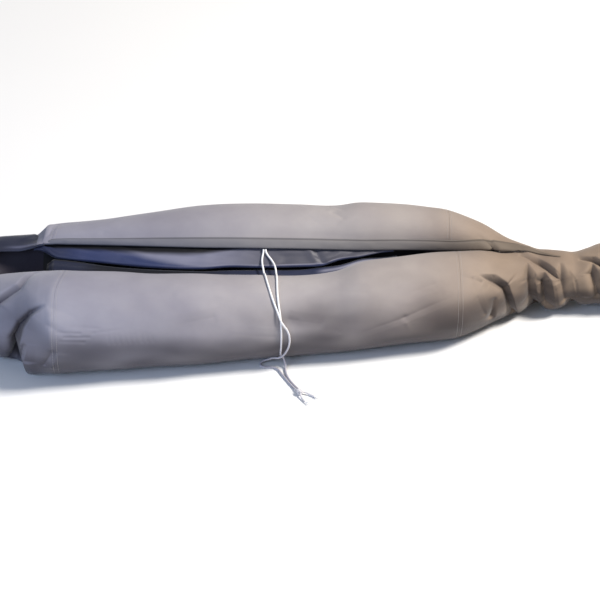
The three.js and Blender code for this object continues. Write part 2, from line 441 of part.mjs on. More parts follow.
// A round cord with closed ends along a line of points.
function cord(points, step) {
  const line = new THREE.CatmullRomCurve3(points, false, 'centripetal');
  const count = Math.max(6, Math.round(line.getLength() / step));
  const frames = line.computeFrenetFrames(count, false);
  const positions = [];
  const faces = [];
  for (let k = 0; k <= count; k++) {
    const centre = line.getPointAt(k / count);
    for (let i = 0; i < CORD.sides; i++) {
      const a = (2 * Math.PI * i) / CORD.sides;
      const p = centre.clone()
        .addScaledVector(frames.normals[k], radius * Math.cos(a))
        .addScaledVector(frames.binormals[k], radius * Math.sin(a));
      positions.push(...p.toArray());
    }
  }
  for (let k = 0; k < count; k++) {
    for (let i = 0; i < CORD.sides; i++) {
      const a = k * CORD.sides + i;
      const b = k * CORD.sides + ((i + 1) % CORD.sides);
      faces.push(a, b, a + CORD.sides, b, b + CORD.sides, a + CORD.sides);
    }
  }
  for (let i = 1; i + 1 < CORD.sides; i++) {
    const end = count * CORD.sides;
    faces.push(0, i + 1, i, end, end + i, end + i + 1);
  }
  const geometry = new THREE.BufferGeometry();
  geometry.setAttribute('position', new THREE.Float32BufferAttribute(positions, 3));
  geometry.setIndex(faces);
  return geometry;
}

// Between three.js geometry and a solid that can be joined or cut.
function solid(geometry) {
  const bare = geometry.clone();
  bare.deleteAttribute('normal');
  bare.deleteAttribute('uv');
  const merged = mergeVertices(bare, 1e-4);
  return new wasm.Manifold(new wasm.Mesh({
    numProp: 3,
    vertProperties: merged.attributes.position.array,
    triVerts: new Uint32Array(merged.index.array),
  }));
}
function shape(body) {
  const mesh = body.getMesh();
  const geometry = new THREE.BufferGeometry();
  geometry.setAttribute('position', new THREE.Float32BufferAttribute(mesh.vertProperties, 3));
  geometry.setIndex(Array.from(mesh.triVerts));
  return geometry;
}

// The knot: two turns of cord drawn tight round a core, with the two free ends.
function knot() {
  const core = new THREE.SphereGeometry(1, 14, 10);
  core.scale(KNOT.length / 2, KNOT.height / 2 - 0.6, KNOT.height / 2 - 0.6);
  let body = solid(core);
  for (const [offset, tilt] of [[-3, 0.3], [3, -0.25]]) {
    const turn = new THREE.TorusGeometry(KNOT.height / 2 - radius, radius, 8, 18);
    turn.rotateY(Math.PI / 2 + tilt);
    turn.translate(offset, 0, 0);
    body = body.add(solid(turn));
  }
  const placed = shape(body);
  placed.rotateZ(radians(-70));
  placed.translate(KNOT.x, KNOT.y, KNOT.z);
  let whole = solid(placed);
  for (const tip of TIPS) whole = whole.add(solid(cord(tip.map((p) => new THREE.Vector3(...p)), 4)));
  return shape(whole);
}

const cloth = { color: 0xa9a3a1, roughness: 0.55, metalness: 0.15 };
const casing = { color: 0x85807f, roughness: 0.6, metalness: 0.1 };
const lining = { color: 0x1d2450, roughness: 0.5, metalness: 0 };
const white = { color: 0xe9e8e4, roughness: 0.75, metalness: 0 };

const group = new THREE.Group();
function piece(name, geometry, finish) {
  const mesh = new THREE.Mesh(geometry, new THREE.MeshStandardMaterial(finish));
  mesh.name = name;
  group.add(mesh);
}
piece('middle_panel', loft(MIDDLE_STATIONS, outline), cloth);
piece('left_end_panel', loft(LEFT_STATIONS, outline), cloth);
piece('right_end_panel', loft(RIGHT_STATIONS, outline), cloth);
piece('cord_casing', loft(between(CASING), casingRing), casing);
piece('lining_upper_fold', loft(between(UPPER_FOLD), upperFold), lining);
piece('lining_lower_fold', loft(between(LOWER_FOLD), lowerFold), lining);
piece('lining_cuff', loft(between(CUFF), cuffRing), lining);
for (const [name, rows] of Object.entries(STRANDS)) piece(name, cord(route(rows), CORD.step), white);
piece('drawcord_knot', knot(), white);

export default group;
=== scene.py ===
"""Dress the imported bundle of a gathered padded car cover.

The outer cloth is lofted finely from the same sections as the solids, settled by a cloth simulation
and sewn with stitches. The cord casing, the folds of the navy lining and the drawcord follow it.
Tables are in millimetres and degrees. Meshes are in metres.
"""

import logging
import math
from dataclasses import dataclass, field
from enum import Enum, IntEnum
from functools import cache

import bpy
import numpy as np
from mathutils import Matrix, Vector


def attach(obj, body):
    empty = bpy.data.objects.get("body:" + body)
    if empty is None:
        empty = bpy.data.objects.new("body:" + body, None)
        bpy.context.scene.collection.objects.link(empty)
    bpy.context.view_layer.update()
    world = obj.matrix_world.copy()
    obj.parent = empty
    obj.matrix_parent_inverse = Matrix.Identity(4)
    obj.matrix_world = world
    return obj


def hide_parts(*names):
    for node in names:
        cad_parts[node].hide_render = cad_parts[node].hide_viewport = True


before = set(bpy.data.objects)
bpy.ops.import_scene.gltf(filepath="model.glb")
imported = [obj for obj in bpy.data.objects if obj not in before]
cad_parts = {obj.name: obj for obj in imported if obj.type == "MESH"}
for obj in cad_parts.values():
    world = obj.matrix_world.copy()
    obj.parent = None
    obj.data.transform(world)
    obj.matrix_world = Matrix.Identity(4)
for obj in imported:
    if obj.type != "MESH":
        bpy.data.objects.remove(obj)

logging.basicConfig(level=logging.INFO, format="%(name)s: %(message)s")
log = logging.getLogger("cover")

Array = np.ndarray
Piece = bpy.types.Object
Triple = tuple[float, float, float]

MM = 0.001
ROOT = "root"

LEFT_TIP, RIGHT_TIP = -715.0, 715.0
LEFT_SEAM, RIGHT_SEAM = -478.0, 312.0
END_DEPTH = 70.0
GAP = 0.3
SEAM_GAP = 0.15
READ_STEP = 0.25
ROUND_STEP = 7.0

STITCH = {"Pitch": 0.0042, "Length": 0.003, "Thickness": 0.0006}
FIBRE = {"Thickness": 0.0007}


class Slot(Enum):
    """The record's material slots."""

    OUTER = "outer_cloth"
    CASING = "casing_cloth"
    LINING = "lining_cloth"
    CORD = "cord"


class Seed(IntEnum):
    """The fixed seed of each kind of noise."""

    SWELLS = 3
    SMALL_SWELLS = 4
    BLOTCHES = 8
    PUCKERS = 11
    GATHERS = 12
    UPPER_FOLD = 21
    LOWER_FOLD = 24
    FIBRES = 31


def mix(a: Array, b: Array, t: Array) -> Array:
    """Return the value a share t of the way from a to b."""
    return a + (b - a) * t


def smooth(low: float, high: float, value: Array) -> Array:
    """Return a smooth step from 0 at low to 1 at high."""
    t = np.clip((value - low) / (high - low), 0.0, 1.0)
    return t * t * (3.0 - 2.0 * t)


def bell(value: Array, middle: float, width: float) -> Array:
    """Return a bell curve that is 1 at its middle."""
    return np.exp(-(((value - middle) / width) ** 2))


def pairs(y: Array, z: Array) -> Array:
    """Return places (y, z) from arrays of y and z."""
    return np.stack(np.broadcast_arrays(y, z), -1)


def quarter(step: Array) -> Array:
    """Return steps (y, z) turned by a quarter, off the cloth."""
    return np.stack([-step[..., 1], step[..., 0]], -1)


def unit(vectors: Array) -> Array:
    """Return vectors at length 1."""
    return vectors / np.maximum(np.linalg.norm(vectors, axis=-1, keepdims=True), 1e-9)


def run_along(steps: Array) -> Array:
    """Return how far each place is along a line, from the lengths of its steps."""
    return np.concatenate([np.zeros((*steps.shape[:-1], 1)), np.cumsum(steps, -1)], -1)


def stations(start: float, end: float, step: float) -> Array:
    """Return even places from start to end, about a step apart."""
    return np.linspace(start, end, max(2, round((end - start) / step) + 1))


def on_oval(oval: tuple[Array, ...], angle: Array) -> Array:
    """Return the places (y, z) at angles in degrees on an oval of middle y and z, width and height."""
    y, z, wide, high = oval
    turn = np.radians(angle)
    return pairs(y + wide * np.cos(turn), z + high * np.sin(turn))


def roll_angle(y: Array, z: Array) -> Array:
    """Return the angle round a middle in degrees, from -90 below it over 90 above it to 270."""
    return (np.degrees(np.arctan2(z, y)) + 450.0) % 360.0 - 90.0


def hermite(a: Array, b: Array, slope_a: Array, slope_b: Array, t: Array) -> Array:
    """Return the value a share t of the way from a to b, with the slope given at each.

    Args:
        a: The value at the start.
        b: The value at the end.
        slope_a: The slope at the start.
        slope_b: The slope at the end.
        t: Shares of the way, from 0 to 1.

    Returns:
        The value at each share.
    """
    cubic = (2.0 * a - 2.0 * b + slope_a + slope_b) * t**3
    square = (-3.0 * a + 3.0 * b - 2.0 * slope_a - slope_b) * t**2
    return cubic + square + slope_a * t + a


def between_rows(values: Array, at: Array, axis: int, closed: bool) -> Array:
    """Read an array at places between its rows, smoothly.

    Args:
        values: The array.
        at: Places counted in rows.
        axis: The axis to read along.
        closed: Whether the last row is followed by the first.

    Returns:
        The array with one row for each place.
    """
    count = values.shape[axis]
    i = np.floor(at).astype(int)
    shape = [1] * values.ndim
    shape[axis] = len(at)
    rows = []
    for step in (-1, 0, 1, 2):
        place = (i + step) % count if closed else np.clip(i + step, 0, count - 1)
        rows.append(np.take(values, place, axis=axis))
    a, b, c, d = rows
    return hermite(b, c, (c - a) * 0.5, (d - b) * 0.5, (at - i).reshape(shape))


def spline(corners: Array, share: Array) -> Array:
    """Return places at shares along one smooth curve through each section's corners."""
    return between_rows(corners, np.clip(share, 0.0, 1.0) * (corners.shape[1] - 1), 1, False)


def through(points: Array, step: float) -> Array:
    """Follow a smooth line through points of unequal spacing.

    Args:
        points: Places that the line passes, in order.
        step: The distance between two places of the result.

    Returns:
        Places along the line, an equal distance apart.
    """
    p = np.concatenate([[2 * points[0] - points[1]], points, [2 * points[-1] - points[-2]]])
    gap = np.sqrt(np.linalg.norm(np.diff(p, axis=0), axis=-1))
    rise = np.diff(p, axis=0) / gap[:, None]
    t = np.linspace(0.0, 1.0, 24, endpoint=False)[:, None]
    parts = []
    for i in range(1, len(p) - 2):
        before, after = gap[i - 1] + gap[i], gap[i] + gap[i + 1]
        slope_a = (rise[i - 1] - (p[i + 1] - p[i - 1]) / before + rise[i]) * gap[i]
        slope_b = (rise[i] - (p[i + 2] - p[i]) / after + rise[i + 1]) * gap[i]
        parts.append(hermite(p[i], p[i + 1], slope_a, slope_b, t))
    line = np.concatenate([*parts, p[-2:-1]])
    run = run_along(np.linalg.norm(np.diff(line, axis=0), axis=-1))
    places = np.linspace(0.0, run[-1], max(8, round(run[-1] / step)))
    return np.stack([np.interp(places, run, line[:, k]) for k in range(3)], -1)


class Table:
    """Named columns of numbers along the bundle, read as smooth curves of the first column."""

    def __init__(self, columns: str, rows: tuple[tuple[float, ...], ...]) -> None:
        """Keep the rows.

        Args:
            columns: Names of the columns, the first being the place.
            rows: A row of numbers for each place, in order.
        """
        self.columns = columns.split()
        self.rows = np.array(rows, float)

    def at(self, column: str, x: Array) -> Array:
        """Read one column.

        Args:
            column: The column's name.
            x: Places along the bundle.

        Returns:
            The column's value at each place.
        """
        place, value = self.rows[:, 0], self.rows[:, self.columns.index(column)]
        slope = np.empty_like(value)
        slope[1:-1] = (value[2:] - value[:-2]) / (place[2:] - place[:-2])
        slope[0] = (value[1] - value[0]) / (place[1] - place[0])
        slope[-1] = (value[-1] - value[-2]) / (place[-1] - place[-2])
        x = np.clip(x, place[0], place[-1])
        i = np.clip(np.searchsorted(place, x, side="right") - 1, 0, len(place) - 2)
        span = place[i + 1] - place[i]
        return hermite(value[i], value[i + 1], span * slope[i], span * slope[i + 1], (x - place[i]) / span)

    def row(self, x: Array) -> dict[str, Array]:
        """Return every column's values, each as one value for a section."""
        return {name: self.at(name, x)[:, None] for name in self.columns[1:]}


# Sections of the bundle, as in the solids
SECTIONS = Table(
    "x roll_y roll_r roll_h valley_y valley_z hem_y hem_z crest_y crest_z crest_r back_y round lift",
    (
        (-715, -20, 76, 120, 50, 70, 70, 100, 104, 118, 34, 156, 0.9, 0),
        (-660, -48, 78, 148, 45, 58, 76, 116, 108, 134, 33, 166, 0.4, 0),
        (-600, -67, 82, 161, 38, 48, 80, 136, 112, 140, 32, 174, 0.05, 0),
        (-560, -82, 87, 173, 28, 46, 79, 139, 114, 142, 31.5, 180, 0, 0),
        (-536, -96, 92.5, 184, 18, 56, 77, 147, 114, 144.5, 31, 184, 0, 0),
        (-526, -102, 94.7, 188.5, 13, 68, 75.5, 152, 113.6, 147.5, 31, 185.5, 0, 0),
        (-513, -108, 97, 193.5, 8, 84, 74, 156.5, 113, 159.8, 31.3, 188, 0, 0),
        (-507, -110.5, 97.8, 195, 7, 88, 73.6, 157.2, 113, 165.8, 32, 189.3, 0, 0),
        (-500, -113, 98.6, 197, 6, 94, 73, 158.2, 112.7, 172.2, 33.4, 190.8, 0, 0),
        (-484, -117, 100, 200, 4, 104, 72, 160, 112, 173, 36, 194, 0, 0),
        (-400, -108, 96, 192, 4, 110, 66, 162, 114, 182, 46, 204, 0, 0),
        (-300, -97, 90, 182, 6, 110, 58, 164, 117, 194, 60, 206, 0, 0),
        (-200, -88, 86, 174, 10, 108, 52, 165, 122, 205, 70, 212, 0, 0),
        (-100, -74, 81, 164, 14, 106, 50, 165, 125, 208, 74, 213.5, 0, 0),
        (0, -60, 77, 156, 22, 104, 52, 162, 125, 207, 70, 213, 0, 0),
        (72, -48, 77, 156, 30, 106, 54, 159, 124, 209, 66, 212, 0, 0),
        (120, -38, 83, 168, 42, 112, 56, 157, 124, 215, 63, 212, 0, 0),
        (200, -23, 86, 173, 56, 122, 60, 155, 122, 212, 56, 210, 0, 0),
        (260, -10, 86, 173, 64, 130, 64, 152, 120, 207, 52, 207, 0, 0),
        (314, 3, 84, 168, 70, 132, 68, 148, 118, 201, 46, 202, 0, 0),
        (360, 26, 79, 156, 78, 128, 74, 144, 114, 182, 36, 198, 0.1, 0),
        (400, 52, 71, 140, 88, 122, 82, 136, 110, 166, 24, 182, 0.4, 1),
        (440, 78, 66, 130, 98, 114, 92, 128, 108, 142, 14, 164, 0.85, 3),
        (460, 88, 62, 122, 100, 108, 96, 120, 106, 124, 46, 154, 1, 6),
        (480, 92, 54, 108, 100, 108, 96, 120, 106, 122, 45, 152, 1, 10),
        (504, 88, 57, 114, 98, 106, 98, 118, 106, 120, 45, 151, 1, 4),
        (530, 88, 57, 109, 98, 106, 98, 118, 106, 120, 45, 147, 1, 8),
        (554, 92, 47, 98, 96, 106, 98, 120, 106, 124, 45, 150, 1, 12),
        (580, 92, 49, 107, 96, 106, 98, 120, 106, 124, 45, 157, 1, 9),
        (608, 92, 49, 118, 96, 112, 98, 126, 106, 134, 48, 168, 1, 5),
        (660, 90, 52, 128, 96, 116, 96, 130, 104, 138, 50, 170, 1, 0),
        (715, 90, 54, 124, 96, 112, 96, 126, 104, 130, 50, 166, 1, 0),
    ),
)


@dataclass(frozen=True)
class Fold:
    """One straight stretch of a tuck in the outer cloth.

    The tuck runs between two places given by x and by the angle round the roll, where 90 is the
    top, 180 the front and 270 the floor. From its bottom a wall rises to a rounded ridge on the side
    toward high x, or on the other side when it is flipped.
    """

    from_x: float
    from_angle: float
    to_x: float
    to_angle: float
    from_depth: float
    to_depth: float
    width: float
    back: float = 0.6
    puff: float = 0.3
    widen: float = 1.0
    flip: bool = False

    def depth(self, x: Array, angle: Array, size: Array) -> tuple[Array, Array, Array]:
        """Measure the tuck.

        Args:
            x: Places along the bundle.
            angle: Degrees round the roll.
            size: Distance from the roll's middle line.

        Returns:
            How far the cloth is drawn in at each place, how far it rises at the ridge, and the painted
            shade on the wall side of the tuck, which only darkens the colour.
        """
        across = self.to_x - self.from_x
        turned = np.radians(self.to_angle - self.from_angle) * size
        length = np.hypot(across, turned)
        px = x - self.from_x
        pr = np.radians(angle - self.from_angle) * size
        t = (px * across + pr * turned) / length**2
        off = (px * turned - pr * across) / length * (-1.0 if self.flip else 1.0)
        along = np.clip(t, 0.0, 1.0)
        wide = self.width * mix(1.0, self.widen, along)
        past = np.maximum(np.maximum(-t, t - 1.0), 0.0) * length
        here = mix(self.from_depth, self.to_depth, along) * bell(past, 0.0, wide * 0.3 + 2.0)
        u = np.abs(off) / wide
        climb = 1.0 - (1.0 - np.clip(u / 1.3, 0.0, 1.0)) ** 1.1
        ridge = -self.puff * bell(np.maximum(u - 1.3, 0.0), 0.0, 1.7)
        wall = np.where(u < 1.3, 1.0 - (1.0 + self.puff) * climb, ridge)
        behind = np.exp(-((u / self.back) ** 1.3))
        shape = np.where(off > 0.0, wall, behind)
        # Painted shade over the wall side of the tuck
        shaded = np.where(off > 0.0, np.exp(-((u / 1.2) ** 8)), 0.0)
        return here * np.maximum(shape, 0.0), here * np.maximum(-shape, 0.0), here * shaded


# Deep folds, of which the deepest counts
FOLDS = (
    Fold(-500, 127, -526, 136, 2, 13, 4, 0.6, 0.2, widen=1.8),
    Fold(-526, 136, -547, 152, 13, 22, 7, 0.6, 0.2, widen=1.3),
    Fold(-547, 152, -561, 175, 22, 30, 9, 0.6, 0.2, widen=1.3),
    Fold(-561, 175, -560, 205, 30, 38, 12, 0.6, 0.2),
    Fold(-560, 205, -561, 245, 38, 46, 13, 0.7, widen=1.3),
    Fold(-524, 66, -549, 101, 3, 9, 9, 0.9, 0.12, flip=True),
    Fold(-549, 101, -592, 127, 9, 12, 10, 0.9, 0.12, flip=True),
    Fold(-592, 127, -645, 165, 12, 9, 12, 0.9, 0.12, flip=True),
    Fold(-540, 178, -547, 196, 2, 6, 8, 0.8),
    Fold(-484, 182, -500, 206, 3, 5, 11),
    Fold(357, 125, 380, 138, 2, 12, 4, 0.6, widen=2.6),
    Fold(380, 138, 404, 156, 12, 17, 11, 0.4),
    Fold(404, 156, 414, 178, 17, 17, 11, 0.4),
    Fold(414, 178, 428, 226, 17, 14, 11, 0.5),
    Fold(386, 168, 380, 196, 4, 9, 8, 0.8),
    Fold(350, 156, 366, 184, 1, 3, 9, 0.8),
    Fold(456, 122, 456, 152, 3, 16, 6, 0.4, widen=3.2),
    Fold(456, 152, 460, 190, 16, 17, 20, 0.3),
    Fold(460, 190, 474, 240, 17, 12, 18, 0.4),
    Fold(444, 102, 470, 114, 3, 8, 9, 0.7),
    Fold(470, 114, 496, 127, 8, 9, 9, 0.7),
    Fold(496, 127, 522, 148, 9, 9, 9, 0.7),
    Fold(492, 134, 487, 156, 3, 15, 7, 0.4, widen=3.2),
    Fold(487, 156, 494, 210, 15, 11, 22, 0.3),
    Fold(523, 116, 524, 150, 3, 13, 8, 0.4, widen=3),
    Fold(524, 150, 532, 196, 13, 9, 25, 0.3),
    Fold(540, 205, 554, 240, 10, 13, 12),
    Fold(564, 103, 588, 114, 3, 9, 5, 0.6),
    Fold(588, 114, 606, 131, 9, 11, 6, 0.6),
    Fold(588, 120, 586, 142, 4, 13, 6, widen=2.2),
    Fold(586, 142, 600, 192, 13, 9, 13),
    Fold(640, 84, 652, 130, 8, 13, 12),
    Fold(652, 130, 646, 200, 13, 9, 12),
    Fold(498, -34, 503, -6, 2, 9, 5, widen=1.8),
    Fold(503, -6, 500, 22, 9, 2, 9, widen=0.6),
    Fold(566, -24, 562, 4, 2, 10, 5, widen=1.8),
    Fold(562, 4, 566, 34, 10, 2, 9, widen=0.6),
    Fold(-604, -6, -620, 30, 1, 7, 6, widen=1.8),
    Fold(-620, 30, -640, 62, 7, 1, 10, widen=0.6),
    Fold(-560, -30, -566, -4, 1, 6, 6, widen=1.6),
    Fold(-566, -4, -572, 24, 6, 1, 9, widen=0.6),
)

# Small creases, which add up
CREASES = (
    Fold(310, 117, 338, 126, 0.3, 1.2, 5, 0.8),
    Fold(338, 126, 358, 135, 1.2, 2.5, 6, 0.8),
    Fold(128, 182, 206, 168, 0.3, 1.4, 10, 0.5, 0.6, flip=True),
    Fold(206, 168, 288, 149, 1.4, 0.3, 10, 0.5, 0.6, flip=True),
    Fold(196, 140, 262, 128, 0.3, 0.9, 12, 0.8, 0.6, flip=True),
    Fold(60, 112, 130, 128, 0.4, 1.2, 14, 0.9, 0.5),
    Fold(-472, 156, -428, 158, 0.6, 0.9, 3.5),
    Fold(-458, 162, -410, 163, 0.9, 0.6, 3.5),
    Fold(-466, 167, -420, 169, 0.5, 0.8, 3.5),
    Fold(-440, 150, -392, 153, 0.3, 0.6, 4),
    Fold(-404, 158, -352, 155, 0.6, 0.3, 4),
    Fold(-486, 128, -440, 138, 1.3, 0.4, 9, 0.8),
    Fold(-490, 148, -448, 160, 1.5, 0.4, 9, 0.8),
    Fold(-330, 104, -250, 112, 0.5, 1.0, 14, 0.9, 0.5),
    Fold(-240, 150, -170, 142, 0.5, 1.2, 14, 0.9, 0.5),
    Fold(-120, 168, -50, 176, 0.5, 1.2, 14, 0.9, 0.5),
    Fold(-20, 150, 40, 160, 1.2, 0.5, 14, 0.9, 0.5),
    *(Fold(-374 + 10.5 * k, 158 + 2 * (k % 3), -372 + 10.5 * k, 172, 0.2, 0.4, 3.6) for k in range(9)),
)


class Ripple:
    """Smooth seeded noise over a flat cloth, the same at each run."""

    count = 64

    def __init__(self, seed: int, along: float, around: float) -> None:
        """Draw the noise.

        Args:
            seed: The fixed seed.
            along: The usual size of a ripple along the bundle, in millimetres.
            around: Its usual size across.
        """
        self.knots = np.random.default_rng(int(seed)).uniform(-1.0, 1.0, (self.count, self.count))
        self.along = along
        self.around = around

    def at(self, x: Array, y: Array) -> Array:
        """Read the noise.

        Args:
            x: Places along the bundle.
            y: Places across it.

        Returns:
            A value from about -1 to 1 at each place.
        """
        u, v = np.broadcast_arrays(x / self.along + 31.0, y / self.around + 17.0)
        i, j = np.floor(u).astype(int), np.floor(v).astype(int)
        total = np.zeros(u.shape)
        for p, share in enumerate(self.weights(u - i)):
            for q, part in enumerate(self.weights(v - j)):
                total += self.knots[(i + p - 1) % self.count, (j + q - 1) % self.count] * share * part
        return total * 2.0

    def weights(self, t: Array) -> list[Array]:
        """Return the share of each of the four knots round a place."""
        middle = [(3 * s**3 - 6 * s**2 + 4) / 6 for s in (t, 1 - t)]
        return [(1 - t) ** 3 / 6, *middle, t**3 / 6]


@dataclass(frozen=True)
class Settled:
    """How far the cloth simulation moved the outer cloth, on a coarse grid."""

    x: Array
    moved: Array

    def at(self, x: Array, s: Array) -> Array:
        """Read the moves.

        Args:
            x: Places along the bundle.
            s: Places round the outline.

        Returns:
            The move at each place, in millimetres.
        """
        row = np.interp(x, self.x, np.arange(len(self.x)))
        inside = (x > self.x[0]) & (x < self.x[-1])
        along = between_rows(self.moved, row, 0, False) * inside[:, None, None]
        return between_rows(along, s, 1, True)


@dataclass
class GatheredForm:
    """The form of the outer cloth: a surface over the place x and the place s round the outline.

    Round the outline, s runs over the roll, the valley, the flap from its hem, the back and the floor.
    """

    roll: int = 60
    valley: int = 14
    crest: int = 27
    back: int = 12
    floor: int = 7
    roll_start: float = 262.0
    flank_rise: float = 24.0
    settle: float = 1.03
    neck_valley: float = 101.0
    neck_hem: float = 96.0
    neck_back: float = -78.0
    crest_end: float = 20.0
    back_inset: float = 26.0
    pleats: int = 12
    pleat_depth: float = 5.0
    pleat_reach: float = 110.0
    slant: tuple[float, float] = (16.0, 6.0)
    slant_reach: float = 42.0
    swell: float = 2.2
    settled: Settled | None = None

    @property
    def hem(self) -> int:
        """Return the place of the hem round the outline."""
        return self.roll + self.valley

    @property
    def around(self) -> int:
        """Return the length of the outline in steps."""
        return self.hem + self.crest + self.back + self.floor

    def band(self, x: Array) -> Array:
        """Return the width of the band at the hem that the casing covers."""
        return mix(10.0, 20.0, smooth(-500.0, -140.0, x))

    def plain(self, x: Array, s: Array) -> tuple[Array, ...]:
        """Build the outline without folds.

        Args:
            x: Places along the bundle.
            s: Places round the outline, in order.

        Returns:
            The points, their middles, their angles on the round neck, and how far folds reach them.
        """
        row = SECTIONS.row(x)
        none = np.zeros((len(x), 1))
        half = row["roll_h"] / 2.0
        low = (row["valley_z"] + self.flank_rise - half) / (half * self.settle)
        flank = np.degrees(np.arcsin(np.clip(low, -0.6, 0.8)))
        oval = row["roll_y"], half, row["roll_r"], half * self.settle
        back, radius = row["back_y"], row["crest_r"]
        circle = row["crest_y"], row["crest_z"] - radius, radius, radius
        hem = row["hem_y"], row["hem_z"]
        to_y, to_z = hem[0] - circle[0], hem[1] - circle[1]
        reach = np.maximum(np.hypot(to_y, to_z), radius * 1.001)
        tangent = (np.degrees(np.arctan2(to_z, to_y)) + 360.0) % 360.0 - np.degrees(np.arccos(radius / reach))
        face_end = on_oval(circle, tangent)
        face = np.linalg.norm(face_end[:, 0] - pairs(*hem)[:, 0], axis=-1)[:, None]
        total = face + radius * np.radians(tangent - self.crest_end)
        parts = []

        def share(start: float, length: float) -> Array:
            """Return how far each place of one stretch of the outline is along it."""
            return (s[(s >= start) & (s < start + length)] - start) / length

        def add(points: Array, neck: Array, middle: tuple[Array, Array], soft: Array) -> None:
            """Add one stretch of the outline, with its middle and how far folds reach it."""
            whole = np.broadcast_to(pairs(*middle), points.shape)
            parts.append((points, whole, neck + none, soft + none * neck))

        roll_middle, crest_middle = oval[:2], circle[:2]
        t = share(0, self.roll)
        points = on_oval(oval, mix(self.roll_start, flank, t))
        add(points, mix(self.roll_start, self.neck_valley, t), roll_middle, 1.0)

        t = share(self.roll, self.valley)
        low, high = pairs(row["valley_y"], row["valley_z"]), pairs(hem[0] + 24, hem[1] - 17)
        points = spline(np.concatenate([on_oval(oval, flank), low, high, pairs(*hem)], 1), t)
        add(points, mix(self.neck_valley, self.neck_hem, t), roll_middle, 1.0 - smooth(0.0, 0.25, t))

        distance = share(self.hem, self.crest) * total
        straight = mix(pairs(*hem), face_end, (distance / face)[..., None])
        bent = on_oval(circle, tangent - np.degrees((distance - face) / radius))
        neck = np.empty_like(distance)
        falls = self.neck_hem - np.array([0.0, 10.0, 20.0, 27.0, self.neck_hem])
        for k, band in enumerate(self.band(x)):
            knots = [0.0, band / 2, band, max(band + 4, face[k, 0]), total[k, 0]]
            neck[k] = np.interp(distance[k], knots, falls)
        add(np.where((distance < face)[..., None], straight, bent), neck, crest_middle, 0.0)

        top = self.hem + self.crest
        t = share(top, self.back)
        down = ((0, 0.45), (2, 0.16), (self.back_inset, 0.0))
        corners = [pairs(back - inset, row["crest_z"] * rise) for inset, rise in down]
        points = spline(np.concatenate([on_oval(circle, none + self.crest_end), *corners], 1), t)
        add(points, mix(0.0, self.neck_back, t), crest_middle, 0.0)

        t = share(top + self.back, self.floor)
        y = mix(back - self.back_inset, on_oval(oval, none + self.roll_start)[..., 0], t)
        add(pairs(y, 0.0), mix(self.neck_back, self.roll_start - 360, t), crest_middle, 0.0)
        return tuple(np.concatenate(part, 1) for part in zip(*parts))

    def slanted(self, x: Array, s: Array) -> Array:
        """Return how far the cloth beside the cross seams is pulled along the bundle.

        Args:
            x: Places along the bundle.
            s: Places round the outline.

        Returns:
            Moves in millimetres.
        """
        share = s / self.roll
        past = np.clip((s - self.roll) / self.valley, 0.0, 1.0)
        on_flap = smooth(self.hem - 4.0, self.hem, s)
        on_flap = on_flap * (1.0 - smooth(self.around - 10.0, self.around - 7.0, s))
        up = smooth(0.0, 0.8 * self.crest, s - self.hem)
        left = self.slant[0] * smooth(0.58, 0.8, share) * (1.0 - smooth(0.0, 0.6, past))
        left = left - mix(19.0, 8.0, up) * on_flap
        right = self.slant[1] * np.sin(np.pi * np.clip(share, 0.0, 1.0)) - 13.0 * on_flap
        near_left, near_right = (bell(x, seam, self.slant_reach)[:, None] for seam in (LEFT_SEAM, RIGHT_SEAM))
        return near_left * left + near_right * right

    def swollen(self, x: Array, s: Array) -> Array:
        """Return the slow and the small swells of the loose cloth.

        Args:
            x: Places along the bundle.
            s: Places round the outline.

        Returns:
            Heights in millimetres.
        """
        place = s * ROUND_STEP
        slow = Ripple(Seed.SWELLS, 74.0, 46.0).at(x[:, None], place)
        small = Ripple(Seed.SMALL_SWELLS, 27.0, 19.0).at(x[:, None] + 0.7 * place, place)
        top = self.hem + self.crest + self.back
        flap = smooth(self.hem, self.hem + 8.0, s) * (1.0 - smooth(top - 4.0, top, s))
        level = (1.0 - smooth(self.roll - 6.0, self.roll, s) + 0.5 * flap) * smooth(0.0, 4.0, s)
        ends = 1.0 - smooth(360.0, 440.0, x)[:, None]
        return self.swell * level * (slow + 0.22 * small) * ends

    def drawn_in(self, x: Array, angle: Array, size: Array) -> tuple[Array, Array]:
        """Return how deep the folds and gathers draw the cloth in, and the painted shade on the fold walls.

        Args:
            x: Places along the bundle.
            angle: Degrees round the roll.
            size: Distance from the roll's middle line.

        Returns:
            Depths in millimetres for folds and gathers, and the painted shade on the fold walls in the same
            measure.
        """
        most = [np.zeros(np.broadcast(x, angle).shape)] * 3
        for fold in FOLDS:
            most = [np.maximum(*both) for both in zip(most, fold.depth(x, angle, size))]
        deepest, raised, painted_wall_shade = most
        deepest = deepest - raised * np.exp(-deepest / 4.0)
        for crease_and_painted_shade in CREASES:
            depth, puffed, _ = crease_and_painted_shade.depth(x, angle, size)
            deepest = deepest + depth - puffed
        to_end = np.minimum(x - LEFT_TIP, RIGHT_TIP - x)
        gathered = 1.0 - smooth(0.0, self.pleat_reach, to_end)
        sway = 14.0 * np.sin(x / 23.0)
        waves = 1.0 - np.abs(np.sin(np.radians((angle + sway) * self.pleats / 2.0)))
        return deepest + 2.0 * self.pleat_depth * gathered * waves, painted_wall_shade

